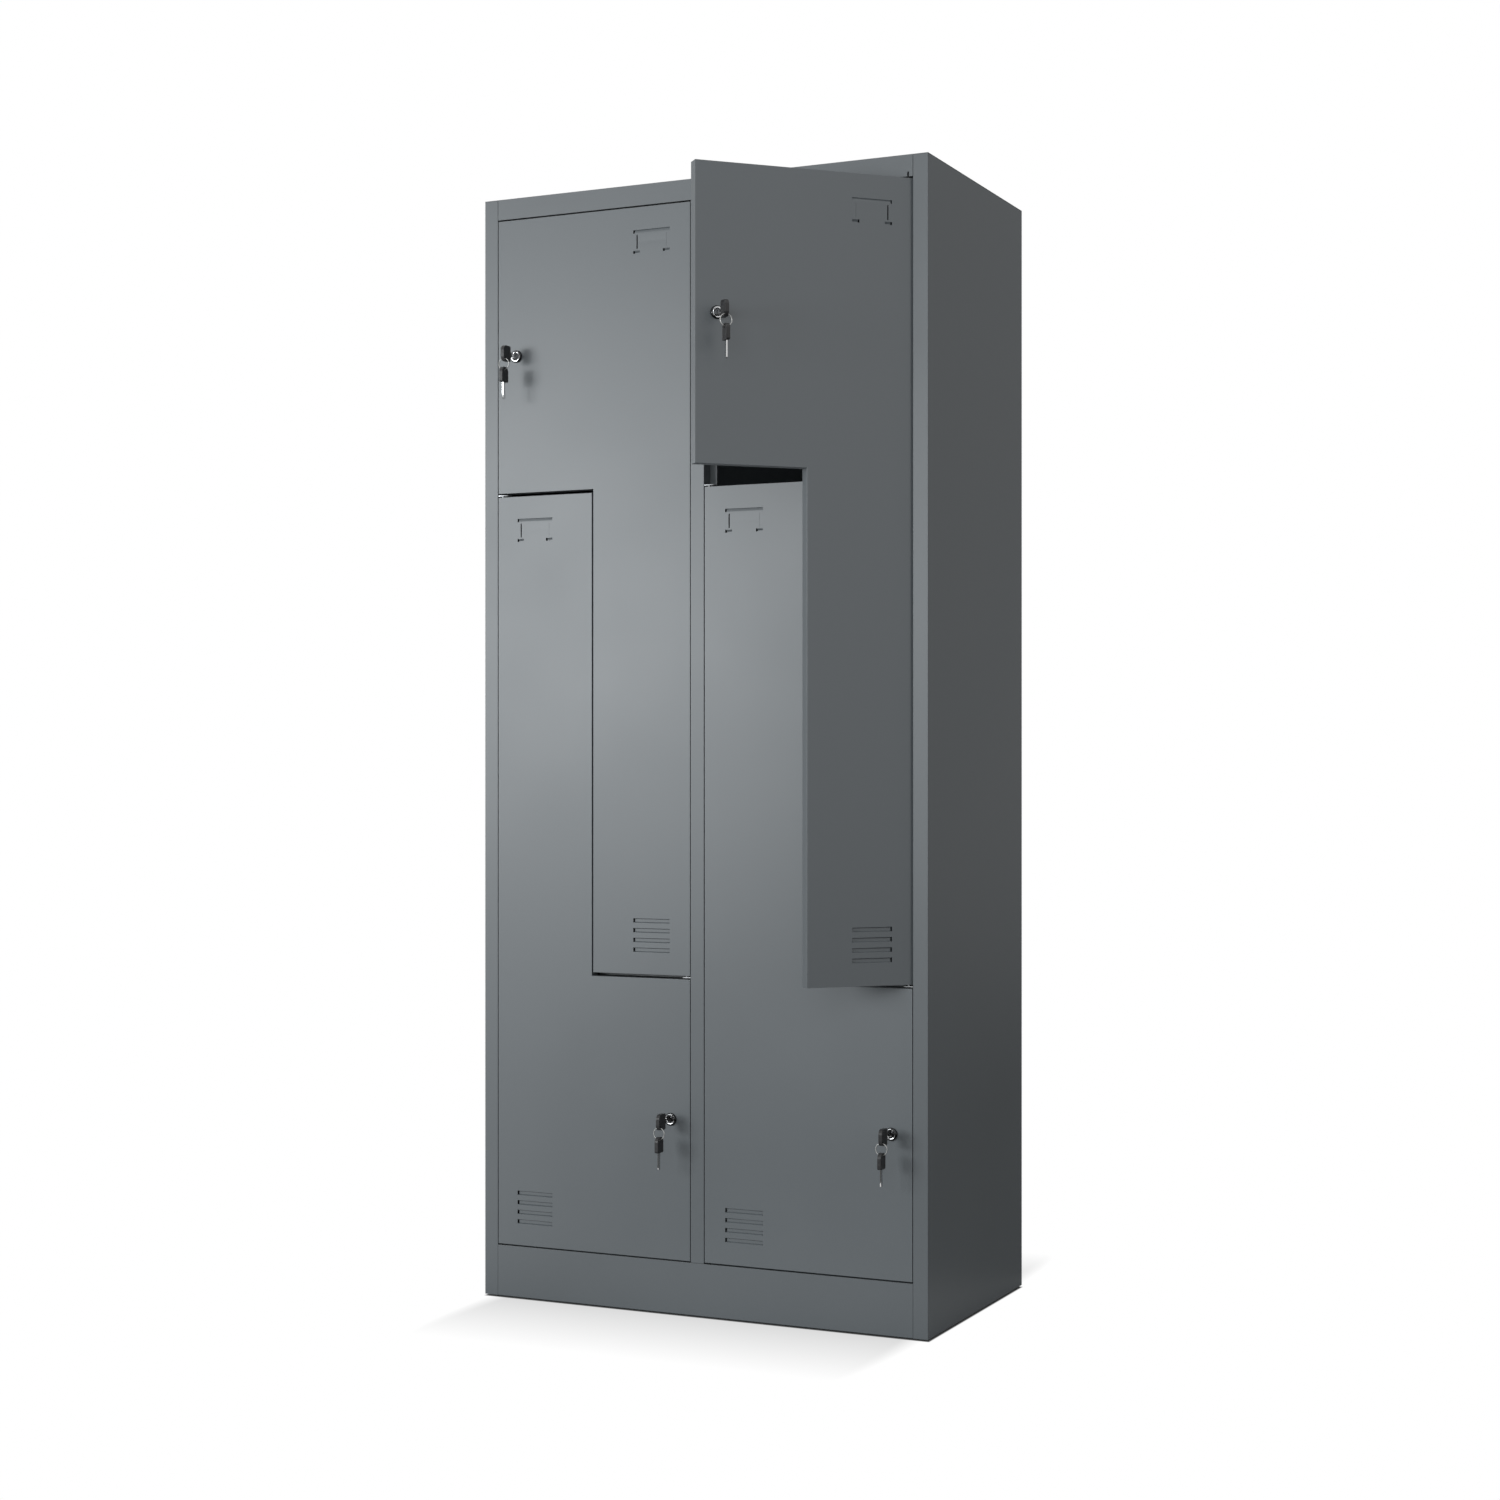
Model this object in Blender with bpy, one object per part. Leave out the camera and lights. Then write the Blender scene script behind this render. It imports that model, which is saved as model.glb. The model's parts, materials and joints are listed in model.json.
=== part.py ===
"""Steel locker cabinet with four L-shaped doors, built sheet by sheet.

Metres, +Z up, the doors face -Y. Run with: blender --background --python part.py
Every sheet piece is a folded profile or a pan with real sheet thickness, and every
moving piece has its origin on the axis that it turns about.
"""
import math

import bmesh
import bpy
from mathutils import Matrix, Vector

# Sizes, in metres.
WIDTH = 0.800
HEIGHT = 1.850
DEPTH = 0.450
SHEET = 0.0010                # steel sheet thickness
SEAM = 0.0004                 # clearance where two sheets meet
FRONT = -0.0935               # y of the front faces; the open case is centred on the origin
BACK = FRONT + DEPTH
BASE = 0.003                  # underside of the case, carried by the feet

STILE = 0.025                 # width of each side stile
POST = 0.024                  # width of the centre post
RETURN = 0.024                # depth of the returns beside the doors
STOP = 0.012                  # width of the flanges that the doors close on
HEADER_Z = 1.8155             # lower edge of the header
PLINTH_Z = 0.088              # upper edge of the plinth
REAR_FLANGE = 0.015

# doors
DOOR_GAP = 0.00125            # gap at each upright edge of a door
DOOR_DEPTH = 0.020
DOOR_LIP = 0.012
DOOR_TOP = 1.813
DOOR_BOTTOM = 0.0905
UPPER_STEP = (1.348, 1.354)   # the gap between the doors at the upper step
LOWER_STEP = (0.548, 0.554)
PIVOT_IN = 0.007              # hinge axis, in from the door's edge
PIVOT_BACK = 0.0035           # hinge axis, behind the door's face
PIN_R = 0.002
PIN_HOLE_R = 0.0024
OPEN_ANGLE = math.radians(45.0)   # how far the upper right door stands open

# things pressed into each door, measured from its hinge edge
PRESS_FROM = 0.037
PRESS_TO = 0.104
LOUVRES = 4
LOUVRE_PITCH = 0.0160
LOUVRE_HIGH = 0.0072
LOUVRE_DEEP = 0.0032
LOUVRE_SLOPE = 0.0013
LOUVRE_CUT = 0.0012           # open cut at each end of a louvre
LOUVRE_UP = 0.0362            # lowest louvre edge above the door's lower edge
CARD_DOWN = 0.0380            # top slot of the card holder below the door's top
CARD_HIGH = 0.0380
CARD_CUT = 0.0012             # open cut at each end of the card holder's strips

# locks and keys
LOCK_IN = 0.0350              # lock axis, in from the door's free edge
LOCK_FACE_R = 0.0104
LOCK_PROUD = 0.0040
LOCK_BODY_R = 0.0086
LOCK_HOLE_R = 0.0090
PLUG_R = 0.0060
CAM_BACK = 0.0265             # front of the cam, behind the door's face
CAM_THICK = 0.0020
CAM_REACH = 0.0320
KEY_THICK = 0.0060
BOW_HIGH = 0.0260
BOW_FROM = 0.0245             # start of the bow, ahead of the door's face
BOW_TO = 0.0470
RING_OUT = 0.0420             # ring plane, ahead of the door's face
RING_DROP = 0.0088            # top of the ring below the lock axis
HOLE_OFF = 0.0007             # the ring's wire, off the middle of each key's hole
RING_R = 0.0094
RING_WIRE = 0.0008
KEY_HOLE_R = 0.0026
SPARE_HEAD = (0.0200, 0.0255)     # width and height of the spare key's head
SPARE_BLADE = 0.0275

COLUMN = (WIDTH / 2 + POST / 2 - STILE) / 2   # middle of a column, from the centre plane
OPENING = (POST / 2, WIDTH / 2 - STILE)       # upright edges of a column's opening
DOOR_WIDE = OPENING[1] - OPENING[0] - 2 * DOOR_GAP
DOOR_NARROW = DOOR_WIDE / 2 - DOOR_GAP
UPPER_SHELF_Z = sum(UPPER_STEP) / 2
LOWER_SHELF_Z = sum(LOWER_STEP) / 2
SHELF_FRONT = FRONT + RETURN + 2 * SHEET + 2 * SEAM
SHELF_BACK = BACK - SHEET - SEAM
HEM = (0.0028, 0.0034)        # thickness and depth of the hem on a shelf's or divider's front edge


# Materials.
def material(name, colour, roughness, metallic):
    """A Principled BSDF material."""
    mat = bpy.data.materials.new(name)
    mat.use_nodes = True
    shader = mat.node_tree.nodes["Principled BSDF"]
    shader.inputs["Base Color"].default_value = (*colour, 1.0)
    shader.inputs["Roughness"].default_value = roughness
    shader.inputs["Metallic"].default_value = metallic
    mat.diffuse_color = (*colour, 1.0)
    return mat


FINISHES = {
    "case": ((0.172, 0.181, 0.189), 0.45, 0.0),
    "inside": ((0.150, 0.158, 0.165), 0.50, 0.0),
    "door": ((0.174, 0.183, 0.191), 0.42, 0.0),
    "chrome": ((0.78, 0.79, 0.80), 0.12, 1.0),
    "zinc": ((0.60, 0.61, 0.62), 0.35, 1.0),
    "key_plastic": ((0.015, 0.015, 0.016), 0.40, 0.0),
    "steel_key": ((0.62, 0.62, 0.60), 0.25, 1.0),
    "rubber": ((0.02, 0.02, 0.02), 0.75, 0.0),
}


# Mesh helpers.
def finish(bm, name, look, location=(0, 0, 0), spin=0.0):
    """Turn a bmesh into a named object with its own material."""
    bmesh.ops.recalc_face_normals(bm, faces=bm.faces)
    mesh = bpy.data.meshes.new(name)
    bm.to_mesh(mesh)
    bm.free()
    obj = bpy.data.objects.new(name, mesh)
    bpy.context.scene.collection.objects.link(obj)
    mesh.materials.append(material(name + "_finish", *FINISHES[look]))
    obj.location = location
    obj.rotation_euler = (0.0, 0.0, spin)
    return obj


def offset_path(path, distance):
    """The open polyline moved to its right by distance, with mitred corners."""
    points = [Vector(p) for p in path]
    normals = []
    for a, b in zip(points, points[1:]):
        d = (b - a).normalized()
        normals.append(Vector((d.y, -d.x)))
    moved = [points[0] + normals[0] * distance]
    for i in range(1, len(points) - 1):
        both = normals[i - 1] + normals[i]
        moved.append(points[i] + both * (distance / (both.dot(normals[i]))))
    moved.append(points[-1] + normals[-1] * distance)
    return moved


def offset_loop(loop, distance):
    """A counter-clockwise closed outline moved inwards by distance."""
    count = len(loop)
    moved = []
    for i in range(count):
        a, b, c = (Vector(loop[(i + k) % count]) for k in (-1, 0, 1))
        n0 = Vector((-(b - a).y, (b - a).x)).normalized()
        n1 = Vector((-(c - b).y, (c - b).x)).normalized()
        both = n0 + n1
        moved.append(b + both * (distance / both.dot(n1)))
    return moved


def prism(bm, outline, low, high, place):
    """A straight prism of an outline; place maps (a, b, height) to a point."""
    rings = [[bm.verts.new(place(p[0], p[1], h)) for p in outline] for h in (low, high)]
    bridge(bm, rings)
    bm.faces.new(rings[0])
    bm.faces.new(list(reversed(rings[1])))


def bridge(bm, rings, closed_end=False):
    """Quads between each ring of points and the next."""
    pairs = list(zip(rings, rings[1:])) + ([(rings[-1], rings[0])] if closed_end else [])
    for lower, upper in pairs:
        for i in range(len(lower)):
            j = (i + 1) % len(lower)
            bm.faces.new((lower[i], lower[j], upper[j], upper[i]))


def on_z(a, b, h):
    """Profile in plan, run upwards."""
    return (a, b, h)


def on_x(a, b, h):
    """Profile in (y, z), run across."""
    return (h, a, b)


def folded(name, look, path, low, high, place, right=True, thick=SHEET):
    """A sheet folded along a path: the path is the visible face."""
    inner = offset_path(path, thick if right else -thick)
    outline = [Vector(p) for p in path] + list(reversed(inner))
    bm = bmesh.new()
    prism(bm, outline, low, high, place)
    return finish(bm, name, look)


def box(bm, low, high):
    """An axis-aligned box between two corners."""
    size = Vector(high) - Vector(low)
    middle = (Vector(high) + Vector(low)) / 2
    bmesh.ops.create_cube(bm, size=1.0, matrix=Matrix.Translation(middle) @ Matrix.Diagonal((*size, 1.0)))


def rod(bm, centre, radius, low, high, axis="Z", sides=16):
    """A cylinder whose axis passes through centre, from low to high along the axis."""
    turn = {"Z": Matrix.Identity(4), "Y": Matrix.Rotation(-math.pi / 2, 4, "X"),
            "X": Matrix.Rotation(math.pi / 2, 4, "Y")}[axis]
    middle = Vector(centre)
    middle["XYZ".index(axis)] = (low + high) / 2
    bmesh.ops.create_cone(bm, cap_ends=True, segments=sides, radius1=radius, radius2=radius,
                          depth=high - low, matrix=Matrix.Translation(middle) @ turn)


def boolean(obj, cutter_bm, operation="DIFFERENCE"):
    """Cut or join obj with a hidden solid placed in obj's own frame."""
    bmesh.ops.recalc_face_normals(cutter_bm, faces=cutter_bm.faces)
    mesh = bpy.data.meshes.new(obj.name + "_tool")
    cutter_bm.to_mesh(mesh)
    cutter_bm.free()
    tool = bpy.data.objects.new(obj.name + "_tool", mesh)
    bpy.context.scene.collection.objects.link(tool)
    tool.location = obj.location
    tool.rotation_euler = obj.rotation_euler
    tool.hide_render = True
    tool.display_type = "WIRE"
    mod = obj.modifiers.new(operation.lower(), "BOOLEAN")
    mod.operation = operation
    mod.solver = "EXACT"
    mod.use_self = True        # the tool's boxes may overlap each other
    mod.object = tool
    return tool


def mirrored(points, sign):
    """The same outline on the left (-1) or right (+1) side."""
    return [(sign * x, y) for x, y in points]


# The case.
def side_panel(sign):
    """Flat side wall, between the stile's face and the back panel."""
    x0, x1 = sorted((sign * (WIDTH / 2 - SHEET), sign * WIDTH / 2))
    bm = bmesh.new()
    box(bm, (x0, FRONT + SHEET + SEAM, BASE), (x1, BACK - SHEET - SEAM, HEIGHT - SHEET - SEAM))
    return finish(bm, "side_panel_" + ("right" if sign > 0 else "left"), "case")


def front_stile(sign):
    """Stile welded to the wall's front edge, with the door's return and stop flange."""
    edge = OPENING[1]
    path = mirrored([(edge - STOP, FRONT + RETURN), (edge, FRONT + RETURN), (edge, FRONT),
                     (WIDTH / 2, FRONT)], sign)
    name = "front_stile_" + ("right" if sign > 0 else "left")
    stile = folded(name, "case", path, BASE, HEIGHT - SHEET - SEAM, on_z, right=sign < 0)
    tool = bmesh.new()
    z = LOWER_SHELF_Z if sign > 0 else UPPER_SHELF_Z
    bracket_slot(tool, sign * edge, z)
    boolean(stile, tool)
    return stile


def bracket_slot(bm, x, z):
    """The slot in a return that a step hinge bracket passes through."""
    box(bm, (x - 0.003, FRONT + 0.0042, z - 0.0013), (x + 0.003, FRONT + 0.0188, z + 0.0013))


def top_panel():
    """Top sheet with the header, its return and stop lip, and a rear flange."""
    lip = HEADER_Z - STOP
    path = [(BACK, HEIGHT - REAR_FLANGE), (BACK, HEIGHT), (FRONT, HEIGHT), (FRONT, HEADER_Z),
            (FRONT + RETURN, HEADER_Z), (FRONT + RETURN, lip)]
    panel = folded("top_panel", "case", path, -WIDTH / 2, WIDTH / 2, on_x, right=False)
    tool = bmesh.new()
    for sign in (-1, 1):
        stile, flange = OPENING[1] - SEAM, OPENING[1] - STOP - SEAM
        corner_box(tool, sign, stile, FRONT - 0.01, FRONT + 0.06, lip - 0.01, HEIGHT - SHEET - 0.0002)
        corner_box(tool, sign, flange, FRONT + RETURN - 0.0005, FRONT + 0.05, lip - 0.02, HEADER_Z + 0.006)
    half = POST / 2 + STOP + SEAM
    box(tool, (-half, FRONT + RETURN - 0.0005, lip - 0.01), (half, FRONT + 0.04, HEADER_Z - 0.0002))
    for x in (-(POST / 2 + DOOR_GAP + PIVOT_IN), OPENING[1] - DOOR_GAP - PIVOT_IN):
        rod(tool, (x, FRONT + PIVOT_BACK, 0), PIN_HOLE_R, HEADER_Z - 0.004, HEADER_Z + 0.004, sides=12)
    boolean(panel, tool)
    return panel


def corner_box(bm, sign, inner, y0, y1, z0, z1):
    """A cutting box from x = inner outwards, on either side."""
    outer = WIDTH / 2 + 0.02
    x0, x1 = sorted((sign * inner, sign * outer))
    box(bm, (x0, y0, z0), (x1, y1, z1))


def plinth():
    """Kick panel under the doors, with its return and the doors' lower stop."""
    lip = PLINTH_Z + STOP
    path = [(FRONT + 0.02, BASE), (FRONT, BASE), (FRONT, PLINTH_Z), (FRONT + RETURN, PLINTH_Z),
            (FRONT + RETURN, lip)]
    half = OPENING[1] - SEAM
    panel = folded("plinth", "case", path, -half, half, on_x, right=True)
    tool = bmesh.new()
    flange = OPENING[1] - STOP - SEAM
    for sign in (-1, 1):
        corner_box(tool, sign, flange, FRONT + RETURN - 0.0005, FRONT + 0.05, BASE - 0.01, lip + 0.01)
    middle = POST / 2 + STOP + SEAM
    box(tool, (-middle, FRONT + RETURN - 0.0005, PLINTH_Z + 0.0002), (middle, FRONT + 0.04, lip + 0.01))
    for x in (-(OPENING[1] - DOOR_GAP - PIVOT_IN), POST / 2 + DOOR_GAP + PIVOT_IN):
        rod(tool, (x, FRONT + PIVOT_BACK, 0), PIN_HOLE_R, PLINTH_Z - 0.004, PLINTH_Z + 0.004, sides=12)
    boolean(panel, tool)
    return panel


def centre_post():
    """Hat-section post between the columns, with a stop flange on each side."""
    half = POST / 2
    path = [(-half - STOP, FRONT + RETURN), (-half, FRONT + RETURN), (-half, FRONT), (half, FRONT),
            (half, FRONT + RETURN), (half + STOP, FRONT + RETURN)]
    post = folded("centre_post", "case", path, PLINTH_Z + 0.0005, HEADER_Z - 0.0005, on_z, right=False)
    tool = bmesh.new()
    bracket_slot(tool, -half, LOWER_SHELF_Z)
    bracket_slot(tool, half, UPPER_SHELF_Z)
    boolean(post, tool)
    return post


def back_and_floor():
    """Back panel, floor and the partition between the columns."""
    bm = bmesh.new()
    box(bm, (-WIDTH / 2, BACK - SHEET, BASE), (WIDTH / 2, BACK, HEIGHT - REAR_FLANGE - SEAM))
    finish(bm, "back_panel", "case")
    inner, rear = WIDTH / 2 - SHEET - SEAM, BACK - SHEET - SEAM
    floor = [(FRONT + 0.0265, PLINTH_Z - 0.018), (FRONT + 0.0265, PLINTH_Z), (rear, PLINTH_Z),
             (rear, PLINTH_Z - 0.018)]
    folded("bottom_panel", "inside", floor, -inner, inner, on_x, right=True)
    bm = bmesh.new()
    box(bm, (-SHEET / 2, FRONT + RETURN + SHEET + SEAM, PLINTH_Z + SEAM),
        (SHEET / 2, rear, HEIGHT - SHEET - SEAM))
    finish(bm, "centre_partition", "inside")


def column_divider(side, sign):
    """Upper shelf, upright divider and lower shelf of one column, in a Z."""
    wall, middle, centre = WIDTH / 2 - SHEET - SEAM, COLUMN, SHEET / 2 + SEAM
    upper_on_wall = sign < 0
    spans = {"upper": (middle + 0.0008, wall) if upper_on_wall else (centre, middle - 0.0008),
             "lower": (centre, middle + 0.0005) if upper_on_wall else (middle - 0.0005, wall)}
    for level, z in (("upper", UPPER_SHELF_Z), ("lower", LOWER_SHELF_Z)):
        x0, x1 = sorted((sign * spans[level][0], sign * spans[level][1]))
        top = z + SHEET / 2
        path = [(SHELF_FRONT + HEM[1], top - HEM[0]), (SHELF_FRONT, top - HEM[0]), (SHELF_FRONT, top),
                (SHELF_BACK, top)]
        folded(f"{level}_shelf_{side}", "inside", path, x0, x1, on_x, right=True)
    lean = sign * middle
    face = lean + SHEET / 2
    path = [(face, SHELF_BACK), (face, SHELF_FRONT), (face - HEM[0], SHELF_FRONT),
            (face - HEM[0], SHELF_FRONT + HEM[1])]
    divider = folded(f"upright_divider_{side}", "inside", path, LOWER_SHELF_Z + SHEET / 2 + SEAM,
                     UPPER_SHELF_Z + SHEET / 2, on_z, right=True)
    tool = bmesh.new()
    box(tool, (lean - STOP - 0.01, SHELF_FRONT - 0.01, UPPER_SHELF_Z - HEM[0] - SEAM),
        (lean - SHEET / 2 - 0.0002, SHELF_FRONT + 0.01, UPPER_SHELF_Z + 0.01))
    boolean(divider, tool)


def feet():
    """Levelling feet: a rubber-soled disc on a screw up to the floor sheet."""
    for name, x, y in (("front_left", -1, 0), ("front_right", 1, 0), ("rear_left", -1, 1),
                       ("rear_right", 1, 1)):
        profile = [(0.016, 0.0), (0.018, 0.002), (0.018, 0.006), (0.0065, 0.010), (0.004, 0.012),
                   (0.004, PLINTH_Z - 0.009), (0.0075, PLINTH_Z - 0.009), (0.0075, PLINTH_Z - SHEET - SEAM)]
        bm = bmesh.new()
        revolve(bm, profile, 16)
        place = (x * (WIDTH / 2 - 0.045), FRONT + 0.06 + y * (DEPTH - 0.11), 0.0)
        finish(bm, "levelling_foot_" + name, "rubber", place)


def revolve(bm, profile, sides):
    """A closed solid of revolution about local Z from (radius, height) pairs."""
    rings = []
    for k, (radius, height) in enumerate(profile):
        ring = []
        for i in range(sides):
            angle = 2 * math.pi * (i + 0.5) / sides
            ring.append(bm.verts.new((radius * math.cos(angle), radius * math.sin(angle), height)))
        rings.append(ring)
    bridge(bm, rings)
    bm.faces.new(list(reversed(rings[0])))
    bm.faces.new(rings[-1])


# Hinges.
def hinge_plates():
    """Plates welded behind the header and the plinth, each with a door's pin."""
    near, far = POST / 2 + DOOR_GAP + PIVOT_IN, OPENING[1] - DOOR_GAP - PIVOT_IN
    for name, x, up in (("upper_left", -near, 1), ("upper_right", far, 1),
                        ("lower_left", -far, -1), ("lower_right", near, -1)):
        front = SHEET + 0.0003 - PIVOT_BACK
        outline = [(-0.0065, front), (0.0065, front), (0.0065, front + 0.015), (-0.0065, front + 0.015)]
        seat = SHEET + 0.0003
        bm = bmesh.new()
        prism(bm, outline, *sorted((up * seat, up * (seat + 0.0016))), on_z)
        place = (x, FRONT + PIVOT_BACK, HEADER_Z if up > 0 else PLINTH_Z)
        plate = finish(bm, "hinge_plate_" + name, "zinc", place)
        tool = bmesh.new()
        rod(tool, (0, 0, 0), PIN_R, *sorted((up * (seat + 0.0008), -up * 0.0085)), sides=12)
        boolean(plate, tool, "UNION")


def step_brackets():
    """Plates in the step gaps, each with the pin of one door's other end."""
    near, far = POST / 2, OPENING[1]
    for name, edge, out, z, up in (("upper_left", -near, -1, LOWER_SHELF_Z, 1),
                                   ("upper_right", far, -1, LOWER_SHELF_Z, 1),
                                   ("lower_left", -far, 1, UPPER_SHELF_Z, -1),
                                   ("lower_right", near, 1, UPPER_SHELF_Z, -1)):
        pivot = DOOR_GAP + PIVOT_IN
        corners = [(-0.0075, 0.0045), (0.0004, 0.0045), (0.0004, 0.0008), (pivot + 0.005, 0.0008),
                   (pivot + 0.0095, 0.0045), (pivot + 0.0095, 0.0150), (pivot + 0.006, 0.0185),
                   (-0.0075, 0.0185)]
        bm = bmesh.new()
        prism(bm, [((a - pivot) * out, b - PIVOT_BACK) for a, b in corners], -0.0009, 0.0009, on_z)
        plate = finish(bm, "step_hinge_bracket_" + name, "zinc", (edge + out * pivot, FRONT + PIVOT_BACK, z))
        tool = bmesh.new()
        rod(tool, (0, 0, 0), PIN_R, *sorted((0.0, up * 0.0085)), sides=12)
        boolean(plate, tool, "UNION")


# Doors.
def door_outline(low, high, step_low, step_high, wide_on_top):
    """Counter-clockwise L outline in (distance from the hinge edge, z)."""
    w, n = DOOR_WIDE, DOOR_NARROW
    if wide_on_top:
        return [(0, low), (n, low), (n, step_high), (w, step_high), (w, high), (0, high)]
    return [(0, low), (w, low), (w, step_low), (n, step_low), (n, high), (0, high)]


def lance(bm, u0, u1, z0, z1, deep, place, rise, fall, cut=CARD_CUT):
    """A strip pressed in between two open end cuts, with a slope along its lower and upper edge.

    Returns its front and back loops.
    """
    wall = 0.0010
    a0, a1 = u0 + cut, u1 - cut
    front = [(u0, z0, 0), (a0, z0, 0), (a1, z0, 0), (u1, z0, 0),
             (u1, z1, 0), (a1, z1, 0), (a0, z1, 0), (u0, z1, 0)]
    floor_f = [(a0, z0 + rise, deep), (a1, z0 + rise, deep), (a1, z1 - fall, deep), (a0, z1 - fall, deep)]
    back = [(u, z, SHEET) for u, z, _ in front]
    skirt = [(a0, z0 - wall, SHEET), (a1, z0 - wall, SHEET), (a1, z1 + wall, SHEET), (a0, z1 + wall, SHEET)]
    floor_b = [(a0, z0 + rise - wall * 0.8, deep + SHEET), (a1, z0 + rise - wall * 0.8, deep + SHEET),
               (a1, z1 - fall + wall * 0.8, deep + SHEET), (a0, z1 - fall + wall * 0.8, deep + SHEET)]
    groups = (front, floor_f, back, skirt, floor_b)
    f, ff, b, s, fb = ([bm.verts.new(place(*p)) for p in group] for group in groups)
    new = bm.faces.new
    new((f[1], f[2], ff[1], ff[0])), new((f[5], f[6], ff[3], ff[2])), new(ff)
    new((s[0], s[1], fb[1], fb[0])), new((s[2], s[3], fb[3], fb[2])), new(fb)
    for end, (i, j, k, m) in (("low", (1, 6, 0, 3)), ("high", (2, 5, 1, 2))):
        new((f[i], ff[k], fb[k], s[k], b[i]))
        new((f[j], ff[m], fb[m], s[m], b[j]))
        new((ff[k], ff[m], fb[m], fb[k]))
    for i, j in ((0, 1), (2, 3), (3, 4), (4, 5), (6, 7), (7, 0)):
        new((f[i], f[j], b[j], b[i]))
    back_loop = [b[0], b[1], s[0], s[1], b[2], b[3], b[4], b[5], s[2], s[3], b[6], b[7]]
    return f, back_loop


def door_pressings(bm, low, high, place):
    """Louvres near the bottom and the card holder near the top of a door."""
    loops = []
    for i in range(LOUVRES):
        z = low + LOUVRE_UP + i * LOUVRE_PITCH
        loops.append(lance(bm, PRESS_FROM, PRESS_TO, z, z + LOUVRE_HIGH, LOUVRE_DEEP, place,
                           LOUVRE_SLOPE, LOUVRE_SLOPE, LOUVRE_CUT))
    top = high - CARD_DOWN
    foot = 0.0122
    loops.append(lance(bm, PRESS_FROM, PRESS_TO, top - 0.0050, top + 0.0006, 0.0028, place, 0.0036, 0.0004))
    loops.append(lance(bm, PRESS_FROM + 0.0060, PRESS_TO - 0.0060, top - 0.0306, top - 0.0074, 0.0014, place,
                       0.0100, 0.0100))
    for u0, u1 in ((PRESS_FROM, PRESS_FROM + foot), (PRESS_TO - foot, PRESS_TO)):
        loops.append(lance(bm, u0, u1, top - CARD_HIGH, top - CARD_HIGH + 0.0048, 0.0028, place,
                           0.0004, 0.0030))
    return loops


def fill(bm, loops):
    """Fill a flat outline, less its holes, with triangles."""
    edges = set()
    for loop in loops:
        for a, b in zip(loop, loop[1:] + loop[:1]):
            edges.add(bm.edges.get((a, b)) or bm.edges.new((a, b)))
    bmesh.ops.triangle_fill(bm, use_beauty=True, use_dissolve=False, edges=list(edges))


def door(side, level, pivot_x, out, opening):
    """One L-shaped pan door. out is the way from the hinge to the free edge."""
    upper = level == "upper"
    low, high = (LOWER_STEP[1], DOOR_TOP) if upper else (DOOR_BOTTOM, UPPER_STEP[0])
    outline = door_outline(low, high, LOWER_STEP[0], UPPER_STEP[1], upper)
    middle = (low + high) / 2

    def place(u, z, back):
        return (out * (u - PIVOT_IN), back - PIVOT_BACK, z - middle)

    bm = bmesh.new()
    profile = [(0, 0), (0, DOOR_DEPTH), (DOOR_LIP, DOOR_DEPTH), (DOOR_LIP, DOOR_DEPTH - SHEET),
               (SHEET, DOOR_DEPTH - SHEET), (SHEET, SHEET)]
    rings = [[bm.verts.new(place(p[0], p[1], back)) for p in offset_loop(outline, inset)]
             for inset, back in profile]
    bridge(bm, rings)
    loops = door_pressings(bm, low, high, place)
    fill(bm, [rings[0]] + [front for front, _ in loops])
    fill(bm, [rings[-1]] + [back for _, back in loops])
    name = f"door_{level}_{side}"
    location = (pivot_x, FRONT + PIVOT_BACK, middle)
    leaf = finish(bm, name, "door", location, opening)
    tool = bmesh.new()
    for z in (low, high):
        rod(tool, (0, 0, 0), PIN_HOLE_R, z - middle - 0.003, z - middle + 0.003, sides=12)
    u, z = lock_place(upper)
    rod(tool, place(u, z, 0), LOCK_HOLE_R, -PIVOT_BACK - 0.003, -PIVOT_BACK + 0.004, axis="Y", sides=20)
    boolean(leaf, tool)
    stiffener(name, low, high, middle, out, location, opening)
    return leaf


def lock_place(upper):
    """Distance from the hinge edge and height of a door's lock axis."""
    z = (UPPER_STEP[1] + DOOR_TOP) / 2 if upper else (DOOR_BOTTOM + LOWER_STEP[0]) / 2
    return DOOR_WIDE - LOCK_IN, z


def stiffener(name, low, high, middle, out, location, opening):
    """Hat channel spot-welded up the inside of a door, beside its pressings."""
    u0, u1, deep, foot = 0.116, 0.160, 0.012, 0.008
    y = SHEET + 0.0003
    path = [(u0, y), (u0 + foot, y), (u0 + foot, y + deep), (u1 - foot, y + deep), (u1 - foot, y), (u1, y)]
    path = [(out * (u - PIVOT_IN), b - PIVOT_BACK) for u, b in path]
    inner = offset_path(path, -SHEET * out)
    bm = bmesh.new()
    prism(bm, [Vector(p) for p in path] + list(reversed(inner)), low - middle + 0.014,
          high - middle - 0.014, on_z)
    finish(bm, "stiffener_" + name[5:], "inside", location, opening)


# Locks and keys.
def hexagon(angle):
    """Radius of a hexagon of unit apothem at an angle."""
    return 1.0 / math.cos((angle + math.pi / 6) % (math.pi / 3) - math.pi / 6)


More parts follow.
